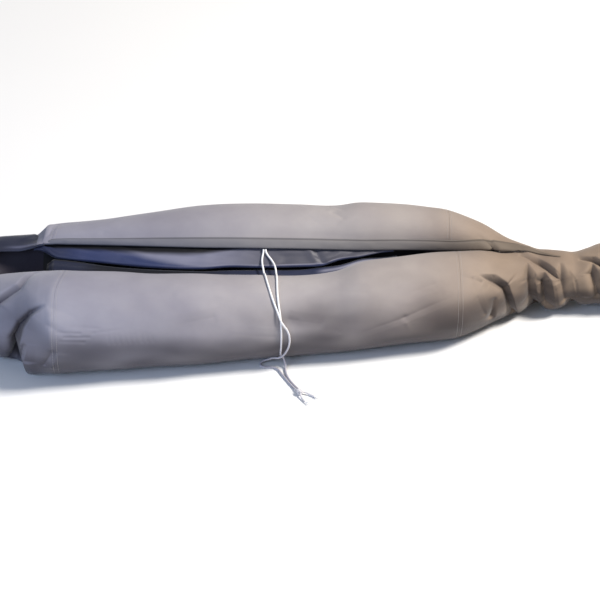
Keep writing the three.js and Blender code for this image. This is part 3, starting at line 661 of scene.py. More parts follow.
    def surface(self, x: Array, s: Array) -> tuple[Array, Array]:
        """Build the folded surface.

        Args:
            x: Places along the bundle, in order.
            s: Places round the outline, in order.

        Returns:
            Points in millimetres, as an array of sections, places and coordinates, and how deep in
            a fold each is, with the painted shade of the fold walls added, which only darkens the colour.
        """
        points, middle, neck_angle, soft = self.plain(x, s)
        row = SECTIONS.row(x)
        round_off, half = row["round"], row["roll_h"] / 2.0
        front, back = row["roll_y"] - row["roll_r"], row["back_y"]
        neck_y, neck_r = (front + back) / 2.0, (back - front) / 2.0
        neck_z = row["lift"] + half
        neck = on_oval((neck_y, neck_z, neck_r, half * self.settle), neck_angle)
        middle = mix(middle, pairs(neck_y, neck_z), round_off[..., None])
        away = mix(points, neck, round_off[..., None]) - middle
        far = np.hypot(away[..., 0], away[..., 1])
        drawn, painted_wall_shade = self.drawn_in(x[:, None], roll_angle(away[..., 0], away[..., 1]), far)
        reached = mix(soft, 1.0, round_off)
        drawn = reached * drawn + self.swollen(x, s)
        to_end = np.clip(np.minimum(x - LEFT_TIP, RIGHT_TIP - x) / END_DEPTH, 0.0, 1.0)
        closing = np.sqrt(np.maximum(1.0 - (1.0 - to_end) ** 2, 0.0009))[:, None, None]
        place = mix(pairs(neck_y, neck_z * 0.9), middle + away * (1.0 - drawn / far)[..., None], closing)
        place[..., 1] = np.maximum(place[..., 1], 0.0)
        grid = np.concatenate([(x[:, None] + self.slanted(x, s))[..., None], place], -1)
        if self.settled is not None:
            grid = grid + self.settled.at(x, s)
            grid[..., 2] = np.maximum(grid[..., 2], 0.0)
        # The second value adds painted shade on the fold walls to the depth; it only sets colour
        return grid, np.maximum(drawn, 0.0) + reached * painted_wall_shade * 0.9

    def lines(self, x: Array, s: Array) -> tuple[Array, Array]:
        """Read places round the outline, with the direction that points off the cloth.

        Args:
            x: Places along the bundle.
            s: Places round the outline, for every section alike or a row for each.

        Returns:
            Points and unit directions, as arrays of sections, places and (y, z).
        """
        fine = np.arange(0.0, self.around, READ_STEP)
        grid = self.surface(x, fine)[0][..., 1:]
        off = unit(quarter(np.roll(grid, -1, 1) - np.roll(grid, 1, 1)))
        s = np.broadcast_to(np.asarray(s, float), (len(x), np.shape(s)[-1]))
        i = np.clip((s / READ_STEP).astype(int), 0, len(fine) - 2)
        t = (s / READ_STEP - i)[..., None]
        rows = np.arange(len(x))[:, None]
        return mix(grid[rows, i], grid[rows, i + 1], t), mix(off[rows, i], off[rows, i + 1], t)

    def up_flap(self, x: Array, distance: Array) -> tuple[Array, Array]:
        """Read places by their distance up the flap from the hem.

        Args:
            x: Places along the bundle.
            distance: A row of distances for each section.

        Returns:
            Points and unit directions off the cloth, as arrays of sections, places and (y, z).
        """
        s = np.linspace(self.hem, self.hem + self.crest, 160)
        run = run_along(np.linalg.norm(np.diff(self.lines(x, s)[0], axis=1), axis=-1))
        return self.lines(x, np.stack([np.interp(d, r, s) for d, r in zip(distance, run)]))

    def on_roll(self, x: float, angle: float, off: float) -> Triple:
        """Return a place on the roll by its angle, a distance off the cloth.

        Args:
            x: The place along the bundle.
            angle: Degrees round the roll.
            off: The distance off the cloth.

        Returns:
            The place in millimetres.
        """
        at = np.array([x])
        points, away = (found[0] for found in self.lines(at, np.arange(0.0, self.roll + 0.01, READ_STEP)))
        middle = pairs(SECTIONS.at("roll_y", at), SECTIONS.at("roll_h", at) / 2.0)
        turn = roll_angle(*(points - middle).T)
        i = max(1, int(np.argmax(turn <= angle)))
        t = (turn[i - 1] - angle) / (turn[i - 1] - turn[i])
        y, z = mix(points[i - 1], points[i], t) + mix(away[i - 1], away[i], t) * off
        return x, float(y), float(z)


def normals_of(grid: Array) -> Array:
    """Return the outward unit normal at each point of a surface that closes round its outline."""
    return unit(np.cross(np.gradient(grid, axis=0), np.roll(grid, -1, 1) - np.roll(grid, 1, 1)))


def link(name: str, data: bpy.types.ID) -> Piece:
    """Return a new object with some data, linked to the scene."""
    made = bpy.data.objects.new(name, data)
    bpy.context.scene.collection.objects.link(made)
    return made


@dataclass
class Tube:
    """A surface through one closed ring for each section, with flat ends."""

    grid: Array

    def squares(self) -> tuple[Array, Array]:
        """Return the section and the place of each face's first corner."""
        sections, around = self.grid.shape[:2]
        k, i = np.meshgrid(np.arange(sections - 1), np.arange(around), indexing="ij")
        return k.ravel(), i.ravel()

    def faces(self, first: int = 0) -> list[tuple[int, ...]]:
        """Number the corners of every face.

        Args:
            first: The number of the first vertex.

        Returns:
            The vertex numbers of each face, the two ends last.
        """
        sections, around = self.grid.shape[:2]
        k, i = self.squares()
        j = (i + 1) % around
        corners = (k * around + i, (k + 1) * around + i, (k + 1) * around + j, k * around + j)
        quads = [tuple(q) for q in (np.stack(corners, -1) + first).tolist()]
        last = first + (sections - 1) * around
        return [*quads, tuple(range(first, first + around)), tuple(range(last, last + around))[::-1]]

    def uv(self) -> Array:
        """Return a place on the flat cloth, in metres, for every corner of faces()."""
        run = run_along(np.linalg.norm(np.roll(self.grid, -1, 1) - self.grid, axis=-1)) * MM
        length = run_along(np.linalg.norm(np.diff(self.grid.mean(1), axis=0), axis=-1)) * MM
        k, i = self.squares()
        corners = ((k, i), (k + 1, i), (k + 1, i + 1), (k, i + 1))
        quads = np.stack([pairs(length[a], run[a, b]) for a, b in corners], 1)
        return np.concatenate([quads.reshape(-1, 2), self.grid[0, :, 1:] * MM, self.grid[-1, ::-1, 1:] * MM])


def make_piece(
    name: str, points: Array, faces: list[tuple[int, ...]], materials: list[bpy.types.Material]
) -> Piece:
    """Make a smooth mesh object at the origin.

    Args:
        name: The piece's name.
        points: Vertices in metres.
        faces: Vertex numbers of each face.
        materials: The piece's materials.

    Returns:
        The new object.
    """
    mesh = bpy.data.meshes.new(name)
    mesh.from_pydata(points.tolist(), [], faces)
    for material in materials:
        mesh.materials.append(material)
    mesh.polygons.foreach_set("use_smooth", np.ones(len(mesh.polygons), bool))
    mesh.update()
    return link(name, mesh)


def dress(
    node: str,
    name: str,
    grids: list[Array],
    marks: dict[str, Array],
    slot: Slot,
    lined: Array | None = None,
) -> Piece:
    """Make a piece that stands for a CAD node from closed tubes, in its slot's finish.

    Args:
        node: The CAD node.
        name: The piece's name.
        grids: Each tube's rings, in millimetres.
        marks: Values at the rings' places that the finish reads, by name.
        slot: The slot.
        lined: The squares between the rings that have the lining's finish, where there are any.

    Returns:
        The piece.
    """
    faces, count = [], 0
    for grid in grids:
        faces += Tube(grid).faces(count)
        count += grid.shape[0] * grid.shape[1]
    points = np.concatenate([grid.reshape(-1, 3) for grid in grids]) * MM
    materials = [MATERIALS[slot]] if lined is None else [MATERIALS[slot], MATERIALS[Slot.LINING]]
    piece = make_piece(name, points, faces, materials)
    mesh = piece.data
    if lined is not None:
        chosen = np.zeros(len(faces), np.int32)
        chosen[: lined.size] = lined.ravel()
        mesh.polygons.foreach_set("material_index", chosen)
    places = np.concatenate([Tube(grid).uv() for grid in grids])
    mesh.uv_layers.new(name="cloth").data.foreach_set("uv", places.astype(np.float32).ravel())
    for mark, values in marks.items():
        layer = mesh.attributes.new(mark, "FLOAT", "POINT")
        layer.data.foreach_set("value", values.astype(np.float32).ravel())
    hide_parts(node)
    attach(piece, ROOT)
    return piece


SOCKETS = {
    "value": "NodeSocketFloat",
    "color": "NodeSocketColor",
    "vector": "NodeSocketVector",
    "geometry": "NodeSocketGeometry",
    "material": "NodeSocketMaterial",
}


@dataclass
class Tree:
    """A node tree that is filled node by node."""

    tree: bpy.types.NodeTree
    start: bpy.types.NodeOutputs | None = None
    end: bpy.types.Node | None = None

    @classmethod
    def group(cls, name: str, kind: str, inputs: dict[str, float | str], outputs: dict[str, str]) -> "Tree":
        """Start a node group.

        Args:
            name: The group's name.
            kind: The kind of tree.
            inputs: Each input's starting value, or its kind of socket.
            outputs: Each output's kind of socket.

        Returns:
            The group, with what goes in at start and its output node at end.
        """
        made = cls(bpy.data.node_groups.new(name, kind))
        for key, value in inputs.items():
            socket = SOCKETS[value if isinstance(value, str) else "value"]
            entry = made.tree.interface.new_socket(key, in_out="INPUT", socket_type=socket)
            if not isinstance(value, str):
                entry.default_value = value
        for key, value in outputs.items():
            made.tree.interface.new_socket(key, in_out="OUTPUT", socket_type=SOCKETS[value])
        made.start = made.add("NodeGroupInput").outputs
        made.end = made.add("NodeGroupOutput")
        return made

    def fill(self, node: bpy.types.Node, inputs: dict[str | int, object]) -> None:
        """Set a node's inputs.

        Args:
            node: The node.
            inputs: A socket to link or a value for each input, by its name or place.
        """
        for key, value in inputs.items():
            socket = node.inputs[key]
            if isinstance(value, bpy.types.NodeSocket):
                self.tree.links.new(value, socket)
            else:
                socket.default_value = (*value, 1.0) if socket.type == "RGBA" else value

    def add(
        self, kind: str, inputs: dict[str | int, object] | None = None, **settings: object
    ) -> bpy.types.Node:
        """Add a node.

        Args:
            kind: The kind of node.
            inputs: Its inputs, as for fill().
            **settings: Its settings.

        Returns:
            The node.
        """
        node = self.tree.nodes.new(kind)
        for name, value in settings.items():
            setattr(node, name, value)
        self.fill(node, inputs or {})
        return node

    def math(self, kind: str, *values: object) -> bpy.types.NodeSocket:
        """Return the output of a Math node, from a number or a socket for each input."""
        return self.add("ShaderNodeMath", dict(enumerate(values)), operation=kind).outputs[0]

    def blend(self, share: object, a: object, b: object, kind: str = "MIX") -> bpy.types.NodeSocket:
        """Return the output of a colour mix, a share of the way from a to b."""
        return self.add("ShaderNodeMix", {0: share, 6: a, 7: b}, data_type="RGBA", blend_type=kind).outputs[2]

    def noise(
        self, place: object, scale: object, detail: float = 2.0, roughness: float = 0.5
    ) -> bpy.types.NodeSocket:
        """Return the output of a noise texture."""
        inputs = {"Vector": place, "Scale": scale, "Detail": detail, "Roughness": roughness}
        return self.add("ShaderNodeTexNoise", inputs).outputs["Fac"]

    def relief(self, height: object, strength: float, distance: float) -> bpy.types.NodeSocket:
        """Return the normal of a Bump node."""
        inputs = {"Height": height, "Strength": strength, "Distance": distance}
        return self.add("ShaderNodeBump", inputs).outputs["Normal"]

    def mark(self, name: str) -> bpy.types.NodeSocket:
        """Return the value of a mark at the piece's vertices."""
        return self.add("ShaderNodeAttribute", attribute_name=name).outputs["Fac"]

    def use(self, group: bpy.types.NodeTree, inputs: dict[str, object]) -> bpy.types.NodeOutputs:
        """Return the outputs of a shader group."""
        return self.add("ShaderNodeGroup", inputs, node_tree=group).outputs


def start_material(name: str) -> tuple[bpy.types.Material, Tree, bpy.types.NodeSocket, bpy.types.Node]:
    """Start a material.

    Args:
        name: Its name.

    Returns:
        The material, its tree, the place on the object and its Principled node.
    """
    made = bpy.data.materials.new(name)
    made.use_nodes = True
    tree = Tree(made.node_tree)
    place = tree.add("ShaderNodeTexCoord").outputs["Object"]
    return made, tree, place, made.node_tree.nodes["Principled BSDF"]


@cache
def woven_threads() -> bpy.types.NodeTree:
    """Return the shader group of threads over and under each other, as a height and a faint painted shade,
    darker where the threads dip.
    """
    inputs = {"Place": "vector", "Pitch": 0.001, "Slub": 0.4}
    tree = Tree.group("woven threads", "ShaderNodeTree", inputs, {"Height": "value", "Shade": "value"})
    split = tree.add("ShaderNodeSeparateXYZ", {0: tree.start["Place"]}).outputs
    turn = tree.math("DIVIDE", math.pi, tree.start["Pitch"])
    waves = [tree.math("SINE", tree.math("MULTIPLY", split[axis], turn)) for axis in ("X", "Y")]
    crossing = tree.math("MULTIPLY", *waves)
    rough = tree.math("MULTIPLY", tree.noise(tree.start["Place"], 90.0, 3.0), tree.start["Slub"])
    height = tree.math("MULTIPLY_ADD", crossing, 0.5, rough)
    tree.fill(tree.end, {"Height": height, "Shade": tree.math("MULTIPLY_ADD", crossing, 0.5, 0.5)})
    return tree.tree


@cache
def cloth_tones() -> bpy.types.NodeTree:
    """Return the shader group of slow changes of tone over a cloth, with faint streaks."""
    inputs = {"Place": "vector", "Patch": 7.0, "Streak": 26.0}
    tree = Tree.group("cloth tones", "ShaderNodeTree", inputs, {"Patches": "value", "Streaks": "value"})
    place = tree.start["Place"]
    patches = tree.noise(place, tree.start["Patch"], 4.0, 0.55)
    stretched = {"Vector": place, "Scale": (0.35, 1.0, 1.6), "Rotation": (0.0, 0.35, 0.0)}
    stretch = tree.add("ShaderNodeMapping", stretched).outputs["Vector"]
    tree.fill(tree.end, {"Patches": patches, "Streaks": tree.noise(stretch, tree.start["Streak"], 5.0, 0.6)})
    return tree.tree


@cache
def painted_lamp_tint_group() -> bpy.types.NodeTree:
    """Return the shader group of a painted tint of the lamps: cooler toward low x, lit by the cool fill, and
    tan toward high x, lit by the warm key.
    """
    inputs = {"Place": "vector", "Color": "color", "Amount": 1.0}
    # This group paints the warm and cool cast of the lamps into the colour
    tree = Tree.group("tone along the bundle", "ShaderNodeTree", inputs, {"Color": "color"})
    along = tree.add("ShaderNodeSeparateXYZ", {0: tree.start["Place"]}).outputs["X"]
    along = tree.math("MULTIPLY_ADD", tree.noise(tree.start["Place"], 6.0), 0.16, along)
    along = tree.math("SUBTRACT", along, 0.08)
    color = tree.start["Color"]
    # Cool painted tint toward low x, warm painted tint toward high x
    for tint, low, high in (((0.73, 0.785, 0.96), 0.15, -0.5), ((0.68, 0.55, 0.40), 0.02, 0.5)):
        inputs = {"Value": along, "From Min": low, "From Max": high}
        reach = tree.add("ShaderNodeMapRange", inputs, interpolation_type="SMOOTHSTEP").outputs[0]
        color = tree.blend(tree.math("MULTIPLY", reach, tree.start["Amount"]), color, tint, "MULTIPLY")
    tree.fill(tree.end, {"Color": color})
    return tree.tree


@dataclass(frozen=True)
class ClothFinish:
    """A woven cloth: its tones, gloss and threads, with a painted shade colour and a painted tint of the
    lamps.
    """

    name: str
    light: Triple
    dark: Triple
    # The colour of painted shade
    crease_and_painted_shade: Triple
    roughness: float
    sheen: float
    pitch: float
    bump: float
    patch: float = 7.0
    contrast: float = 1.6
    middle: float = 0.5
    # How much painted tint of the lamps
    painted_lamp_tint: float = 1.0

    def material(self) -> bpy.types.Material:
        """Build the cloth's material."""
        made, tree, place, shader = start_material(self.name)
        cloth = tree.add("ShaderNodeUVMap", uv_map="cloth").outputs["UV"]
        tones = tree.use(cloth_tones(), {"Patch": self.patch, "Place": place})
        weave = tree.use(woven_threads(), {"Pitch": self.pitch, "Place": cloth})
        base = self.middle - self.contrast / 2.0
        spread = tree.math("MULTIPLY_ADD", tones["Patches"], self.contrast, base)
        # The tone mark, set only on the lining, lightens it for painted sheen and highlights
        spread = tree.math("ADD", spread, tree.mark("tone"))
        # Faint painted shade between the threads of the weave
        thread = tree.math("MULTIPLY_ADD", weave["Shade"], 0.16, -0.08)
        tone = tree.blend(tree.math("ADD", spread, thread), self.light, self.dark)
        # Painted shade, mixed in by its mark
        shadow = tree.blend(tree.mark("crease_and_painted_shade"), tone, self.crease_and_painted_shade)
        # Painted tint of the lamps along the bundle
        painted_lamp_tint = tree.use(painted_lamp_tint_group(), {"Amount": self.painted_lamp_tint, "Place": place, "Color": shadow})
        height = tree.math("MULTIPLY_ADD", tones["Streaks"], 1.4, weave["Height"])
        inputs = {
            "Base Color": painted_lamp_tint["Color"],
            "Roughness": tree.math("MULTIPLY_ADD", tones["Streaks"], 0.24, self.roughness - 0.12),
            "IOR": 1.4,
            "Normal": tree.relief(height, self.bump, 0.0006),
            "Sheen Weight": self.sheen,
            "Sheen Roughness": 0.45,
        }
        tree.fill(shader, inputs)
        return made


@dataclass(frozen=True)
class CordFinish:
    """A braided white cord or thread: its tones and gloss, with painted shade."""

    name: str
    light: Triple
    painted_shade_tone: Triple
    roughness: float

    def material(self) -> bpy.types.Material:
        """Build the cord's material."""
        made, tree, place, shader = start_material(self.name)
        fibre = tree.noise(place, 900.0, 3.0)
        share = tree.math("MULTIPLY_ADD", fibre, 0.3, tree.mark("crease_and_painted_shade"))
        inputs = {
            # Painted shade mixed in by its mark: between the strands and low down
            "Base Color": tree.blend(tree.math("SUBTRACT", share, 0.15), self.light, self.painted_shade_tone),
            "Roughness": tree.math("MULTIPLY_ADD", fibre, 0.2, self.roughness - 0.1),
            "Normal": tree.relief(fibre, 0.3, 0.0003),
            "Sheen Weight": 0.3,
        }
        tree.fill(shader, inputs)
        return made


# The last colour of each cloth is its painted shade. The lining's light colour is a painted satin sheen; its
# dark colour is its own navy. The cord's second colour is painted shade.
FINISHES = {
    Slot.OUTER: ClothFinish(
        "silver grey cloth", (0.41, 0.375, 0.36), (0.262, 0.236, 0.246), (0.022, 0.015, 0.022),
        0.72, 0.2, 0.0011, 0.3,
    ),
    Slot.CASING: ClothFinish(
        "casing cloth", (0.225, 0.213, 0.21), (0.17, 0.161, 0.165), (0.02, 0.016, 0.02),
        0.7, 0.15, 0.0011, 0.3,
    ),
    Slot.LINING: ClothFinish(
        "navy lining", (0.25, 0.245, 0.3), (0.026, 0.038, 0.105), (0.001, 0.001, 0.0026),
        0.42, 0.2, 0.0008, 0.2, patch=9.0, contrast=0.5, middle=0.0, painted_lamp_tint=0.5,
    ),
    Slot.CORD: CordFinish("white cord", (0.96, 0.955, 0.94), (0.4, 0.385, 0.44), 0.6),
}
MATERIALS = {slot: finish.material() for slot, finish in FINISHES.items()}
THREAD = CordFinish("grey thread", (0.34, 0.32, 0.31), (0.27, 0.255, 0.255), 0.6).material()


@dataclass
class OuterCloth:
    """The silver-grey outer cloth: a middle panel between two gathered end panels."""

    form: GatheredForm = field(default_factory=GatheredForm)
    detail: int = 3
    middle_step: float = 3.0
    end_step: float = 1.7
    turned_in: float = 0.35
    edge: float = 0.5
    lined: tuple[float, float] = (-516.0, 250.0)
    # The depths over which painted shade grows in a fold, and the most painted shade low on the roll
    painted_fold_shade_depths: tuple[float, float] = (3.0, 22.0)
    painted_low_shade: float = 0.86

    def end_places(self, tip: float, seam: float) -> Array:
        """Return the places of an end panel from its tip to its seam, closer near the tip.

        Args:
            tip: The tip's place.
            seam: The seam's place.

        Returns:
            The places, from the tip on.
        """
        side = 1.0 if seam > tip else -1.0
        turn = np.linspace(0.0, math.pi / 2, round(END_DEPTH * 1.35 / self.end_step), endpoint=False)
        straight = stations(0.0, abs(seam - tip) - END_DEPTH, self.end_step)
        return tip + side * np.concatenate([END_DEPTH * (1.0 - np.cos(turn)), END_DEPTH + straight])

    def painted_shade(self, x: Array, s: Array, drawn: Array, up: Array) -> Array:
        """Return the painted shade at each place: in folds and on their walls, deep in the valley and low on
        the roll.

        Args:
            x: Places along the bundle.
            s: Places round the outline.
            drawn: How far the cloth is drawn in at each place, with the painted shade of the fold walls
                added.
            up: How far the cloth faces up at each place.

        Returns:
            A share of the painted shade colour for each place.
        """
        # Painted shade in the folds, weaker toward high x
        first, last = self.painted_fold_shade_depths
        fold = np.clip((drawn - first) / (last - first), 0.0, 1.0)
        fold = fold * mix(0.85, 0.6, smooth(0.0, 400.0, x))[:, None]
        # Painted shade deep in the valley, away from the rounded ends
        share = (s - self.form.roll) / self.form.valley
        deep = smooth(0.04, 0.2, share) * (1.0 - smooth(0.92, 1.0, share))
        hollow = deep * (1.0 - SECTIONS.at("round", x))[:, None]
        # Painted shade low on the roll where it faces down, with a noisy edge and more of it toward high x
        blotch = 0.3 * Ripple(Seed.BLOTCHES, 52.0, 30.0).at(x[:, None], s * ROUND_STEP)
        lean = mix(0.14, -0.14, smooth(-420.0, 300.0, x))[:, None]
        low = self.painted_low_shade * smooth(0.78, -0.56, up + blotch + lean) * (s < self.form.roll)
        return np.maximum(np.maximum(fold, hollow), low)

    def panel(self, name: str, x: Array, seams: tuple[bool, bool]) -> Piece:
        """Build one panel.

        Args:
            name: The CAD node that it stands for.
            x: Its places, in order.
            seams: Whether its low and its high end are sewn to the next panel.

        Returns:
            The panel.
        """
        s = np.arange(self.form.around * self.detail) / self.detail
        sewn = [(end, side) for sewn_there, end, side in zip(seams, (0, -1), (1.0, -1.0)) if sewn_there]
        x = np.sort(np.concatenate([x, [x[end] + side * self.edge for end, side in sewn]]))
        grid, drawn = self.form.surface(x, s)
        normal = normals_of(grid)
        # Painted shade of the folds, the valley and the low roll, kept as a mark on the vertices
        crease_and_painted_shade = self.painted_shade(x, s, drawn, normal[..., 2])
        rows, marks = [grid], [crease_and_painted_shade]
        for end, side in sewn:
            inner = grid[end] - normal[end] * self.turned_in
            inner[:, 0] = grid[end, :, 0] + side * self.edge
            at = len(rows) if end else 0
            rows.insert(at, inner[None])
            # Painted shade on the turned-in row, in the gap between the panels
            marks.insert(at, crease_and_painted_shade[end][None] * 0.7 + 0.2)
        whole = np.concatenate(rows)
        place = whole[:-1, :, 0].mean(1)[:, None]
        # The navy finish in the valley stands partly for lining seen there and partly for painted shade
        hollow = (s >= self.form.roll + 1) & (s < self.form.hem)
        lined = hollow & (place > self.lined[0]) & (place < self.lined[1])
        piece = dress(name, name + "_cloth", [whole], {"crease_and_painted_shade": np.concatenate(marks)}, Slot.OUTER, lined)
        return piece

    def build(self) -> list[Piece]:
        """Build the three panels."""
        left = self.end_places(LEFT_TIP, LEFT_SEAM - SEAM_GAP)
        right = self.end_places(RIGHT_TIP, RIGHT_SEAM + SEAM_GAP)[::-1]
        return [
            self.panel("left_end_panel", left, (False, True)),
            self.panel("middle_panel", stations(LEFT_SEAM, RIGHT_SEAM, self.middle_step), (True, True)),
            self.panel("right_end_panel", right, (True, False)),
        ]


def with_x(x: Array, rings: Array) -> Array:
    """Return rings of (y, z) as points of (x, y, z)."""
    return np.concatenate([np.broadcast_to(x[:, None, None], (*rings.shape[:2], 1)), rings], -1)


def sheet_rings(line: Array, thickness: float) -> Array:
    """Give a line of (y, z) in each section a thickness, with rounded edges.

    Args:
        line: Array of sections, places and (y, z).
        thickness: How thick the cloth is.

    Returns:
        Closed rings, as an array of sections, places and (y, z).
    """
    step = unit(np.gradient(line, axis=1)) * thickness / 2.0
    off = quarter(step)
    turn = np.radians([60.0, 20.0, -20.0, -60.0])[:, None]
    far = off[:, -1:] * np.sin(turn) + step[:, -1:] * np.cos(turn)
    near = off[:, :1] * np.sin(turn) + step[:, :1] * np.cos(turn)
    return np.concatenate([line + off, line[:, -1:] + far, (line - off)[:, ::-1], line[:, :1] - near], 1)


@dataclass
class Settling:
    """The cloth simulation that lets the gathered cloth find its own small folds and swells."""

    form: GatheredForm
    reach: float = 690.0
    coarse: float = 7.0
    fine: float = 4.2
    frames: int = 16
    slack: float = 0.035
    slack_levels: int = 40
    pressure: float = 0.9
    limit: float = 7.0
    cord_clear: tuple[float, float] = (9.0, 38.0)
    cord_radius: float = 2.0
    cord_step: float = 8.0

    def places(self) -> Array:
        """Return the places along the bundle, closer where the cloth is gathered."""
        left = stations(-self.reach, LEFT_SEAM + 20, self.fine)
        middle = stations(LEFT_SEAM + 20, RIGHT_SEAM - 10, self.coarse)
        right = stations(RIGHT_SEAM - 10, self.reach, self.fine)
        return np.concatenate([left, middle[1:-1], right])

    def slack_at(self, x: Array, s: Array) -> Array:
        """Return how much spare cloth there is at each place, from 0 to 1.

        Args:
            x: Places along the bundle.
            s: Places round the outline.

        Returns:
            A share for each place.
        """
        left = 1.0 - smooth(-560.0, -470.0, x)
        right = smooth(300.0, 420.0, x)
        along = mix(0.3 + 0.25 * smooth(60.0, 200.0, x), 0.9, np.maximum(left, right))
        seam = np.minimum(np.abs(x - LEFT_SEAM), np.abs(x - RIGHT_SEAM))
        along = along * (0.15 + 0.85 * smooth(2.0, 12.0, seam))
        flap = smooth(self.form.hem, self.form.hem + 6.0, s)
        return along * (1.0 - flap * 0.85 * (1.0 - right))

    def held(self, grid: Array, s: Array) -> Array:
        """Return which places don't move: the valley, the hem, the floor and both ends."""
        fast = (s >= self.form.roll - 3) & (s <= self.form.hem + 4) | (grid[..., 2] < 1.0)
        fast[[0, -1]] = True
        return fast

    def simulate(self, grid: Array, held: Array, slack: Array) -> Array:
        """Run the cloth simulation.

        Args:
            grid: The cloth's places in millimetres.
            held: Which of them stay.
            slack: The share of spare cloth at each.

        Returns:
            The places after it.
        """
        cloth = make_piece("settling", grid.reshape(-1, 3) * MM, Tube(grid).faces(), [])
        pin = cloth.vertex_groups.new(name="held")
        pin.add(np.nonzero(held.ravel())[0].tolist(), 1.0, "REPLACE")
        spare = cloth.vertex_groups.new(name="slack")
        level = np.round(slack.ravel() * self.slack_levels).astype(int)
        for step in np.unique(level):
            spare.add(np.nonzero(level == step)[0].tolist(), float(step) / self.slack_levels, "REPLACE")
        made = cloth.modifiers.new("cloth", "CLOTH")
        rules = {
            "quality": 4,
            "mass": 0.3,
            "tension_stiffness": 15.0,
            "compression_stiffness": 15.0,
            "shear_stiffness": 5.0,
            "bending_stiffness": 0.5,
            "use_pressure": True,
            "uniform_pressure_force": self.pressure,
            "vertex_group_mass": "held",
            "vertex_group_shrink": "slack",
            "shrink_min": 0.0,
            "shrink_max": -self.slack,
        }
        for name, value in rules.items():
            setattr(made.settings, name, value)
        made.settings.effector_weights.gravity = 0.0
        made.collision_settings.use_collision = False
        made.point_cache.frame_start = 1
        made.point_cache.frame_end = self.frames
        scene = bpy.context.scene
        for number in range(1, self.frames + 1):
            scene.frame_set(number)
        found = np.empty(grid.size)
        graph = bpy.context.evaluated_depsgraph_get()
        cloth.evaluated_get(graph).data.vertices.foreach_get("co", found)
        bpy.data.objects.remove(cloth)
        scene.frame_set(1)
        return found.reshape(grid.shape) / MM

    def run(self) -> None:
        """Settle the form's cloth. Moves are limited, and near the drawcord there are hardly any."""
        x, s = self.places(), np.arange(float(self.form.around))
        grid, _ = self.form.surface(x, s)
        moved = self.simulate(grid, self.held(grid, s), self.slack_at(x[:, None], s)) - grid
        size = np.linalg.norm(moved, axis=-1, keepdims=True)
        moved *= self.limit * np.tanh(size / self.limit) / np.maximum(size, 1e-9)
        near = np.full(grid.shape[:2], 1e9)
        for strand in STRANDS:
            for place in through(strand.route(self.form, self.cord_radius), self.cord_step):
                near = np.minimum(near, np.linalg.norm(grid - place, axis=-1))
        tight = np.maximum(smooth(330.0, 380.0, x), 1.0 - smooth(-530.0, -490.0, x))
        moved *= (smooth(*self.cord_clear, near) * (1.0 - 0.8 * tight)[:, None])[..., None]
        most = np.linalg.norm(moved, axis=-1).max()
        log.info("the cloth settled by %.1f mm, %.1f mm at most", size.mean(), most)
        self.form.settled = Settled(x, moved)


@dataclass
class CordCasing:
    """The narrow channel of darker cloth along the flap's lower edge, in which the drawcord runs."""

    form: GatheredForm
    start: float = -516.0
    end: float = 524.0
    thickness: float = 5.0
    step: float = 2.4
    across: int = 22
    stitched: float = 0.86
    pucker: float = 0.45
    flat_width: float = 0.023

    def build(self) -> Piece:
        """Build the casing as one flat tube."""
        x = stations(self.start, self.end, self.step)
        share = np.linspace(0.0, 1.0, self.across)
        taper = mix(0.16, 1.0, 1.0 - smooth(self.end - 90.0, self.end, x))
        points, off = self.form.up_flap(x, share * (self.form.band(x) * taper)[:, None])
        ends = np.clip(np.minimum(x - self.start, self.end - x) / 50.0, 0.0, 1.0)[:, None]
        thick = self.thickness * mix(0.25, 1.0, ends)
        swell = 0.62 + 0.38 * np.sin(np.pi * np.clip(share * 1.12, 0.0, 1.0)) ** 0.5
        sewn = bell(share, self.stitched, 0.06)
        ripple = Ripple(Seed.PUCKERS, 13.0, 12.0).at(x[:, None], share * 20.0)
        gather = Ripple(Seed.GATHERS, 46.0, 30.0).at(x[:, None], share * 20.0)
        height = thick * (swell - 0.16 * sewn) + self.pucker * (ripple + gather) * np.sin(np.pi * share)
        base = GAP + 0.1
        outer = points + off * np.maximum(base + height, base + 0.8)[..., None]
        rings = np.concatenate([outer, (points + off * base)[:, ::-1]], 1)
        # Painted shade along the stitched groove of the casing
        crease_and_painted_shade = np.tile(np.concatenate([sewn * 0.5, np.zeros(self.across)]), (len(x), 1))
        piece = dress("cord_casing", "cord_casing_cloth", [with_x(x, rings)], {"crease_and_painted_shade": crease_and_painted_shade}, Slot.CASING)
        return piece


LINING = Table(
    "x upper_y upper_z swell lower_y lower_z reach rise",
    (
        (-508, 56, 144, 1, 8, 136, 30, 8),
        (-490, 50, 144, 2, 6, 138, 29, 6),
        (-450, 42, 144, 3, 2, 140, 26, 4),
        (-380, 32, 142.5, 3, -2, 138, 18, 2),
        (-300, 20, 141.5, 4, -4, 136, 14, 1),
        (-200, 14, 141.5, 3, -6, 134, 13, 1),
        (-140, 19, 143, 2, -2, 133, 13, 1),
        (-80, 20, 141, 1, 1, 132, 13, 1),
        (0, 24, 140.5, 2, 8, 127, 13, 2),
        (44, 28, 140.5, 3, 15, 128, 12, 3),
        (80, 41, 144.5, 2.5, 20, 132, 8, 3.5),
        (120, 46, 147.3, 1.5, 36, 137, 6, 3),
        (160, 52, 148.5, 1, 45, 140.5, 5, 2),
        (200, 58, 150, 0.5, 54, 145, 4, 1),
    ),
)


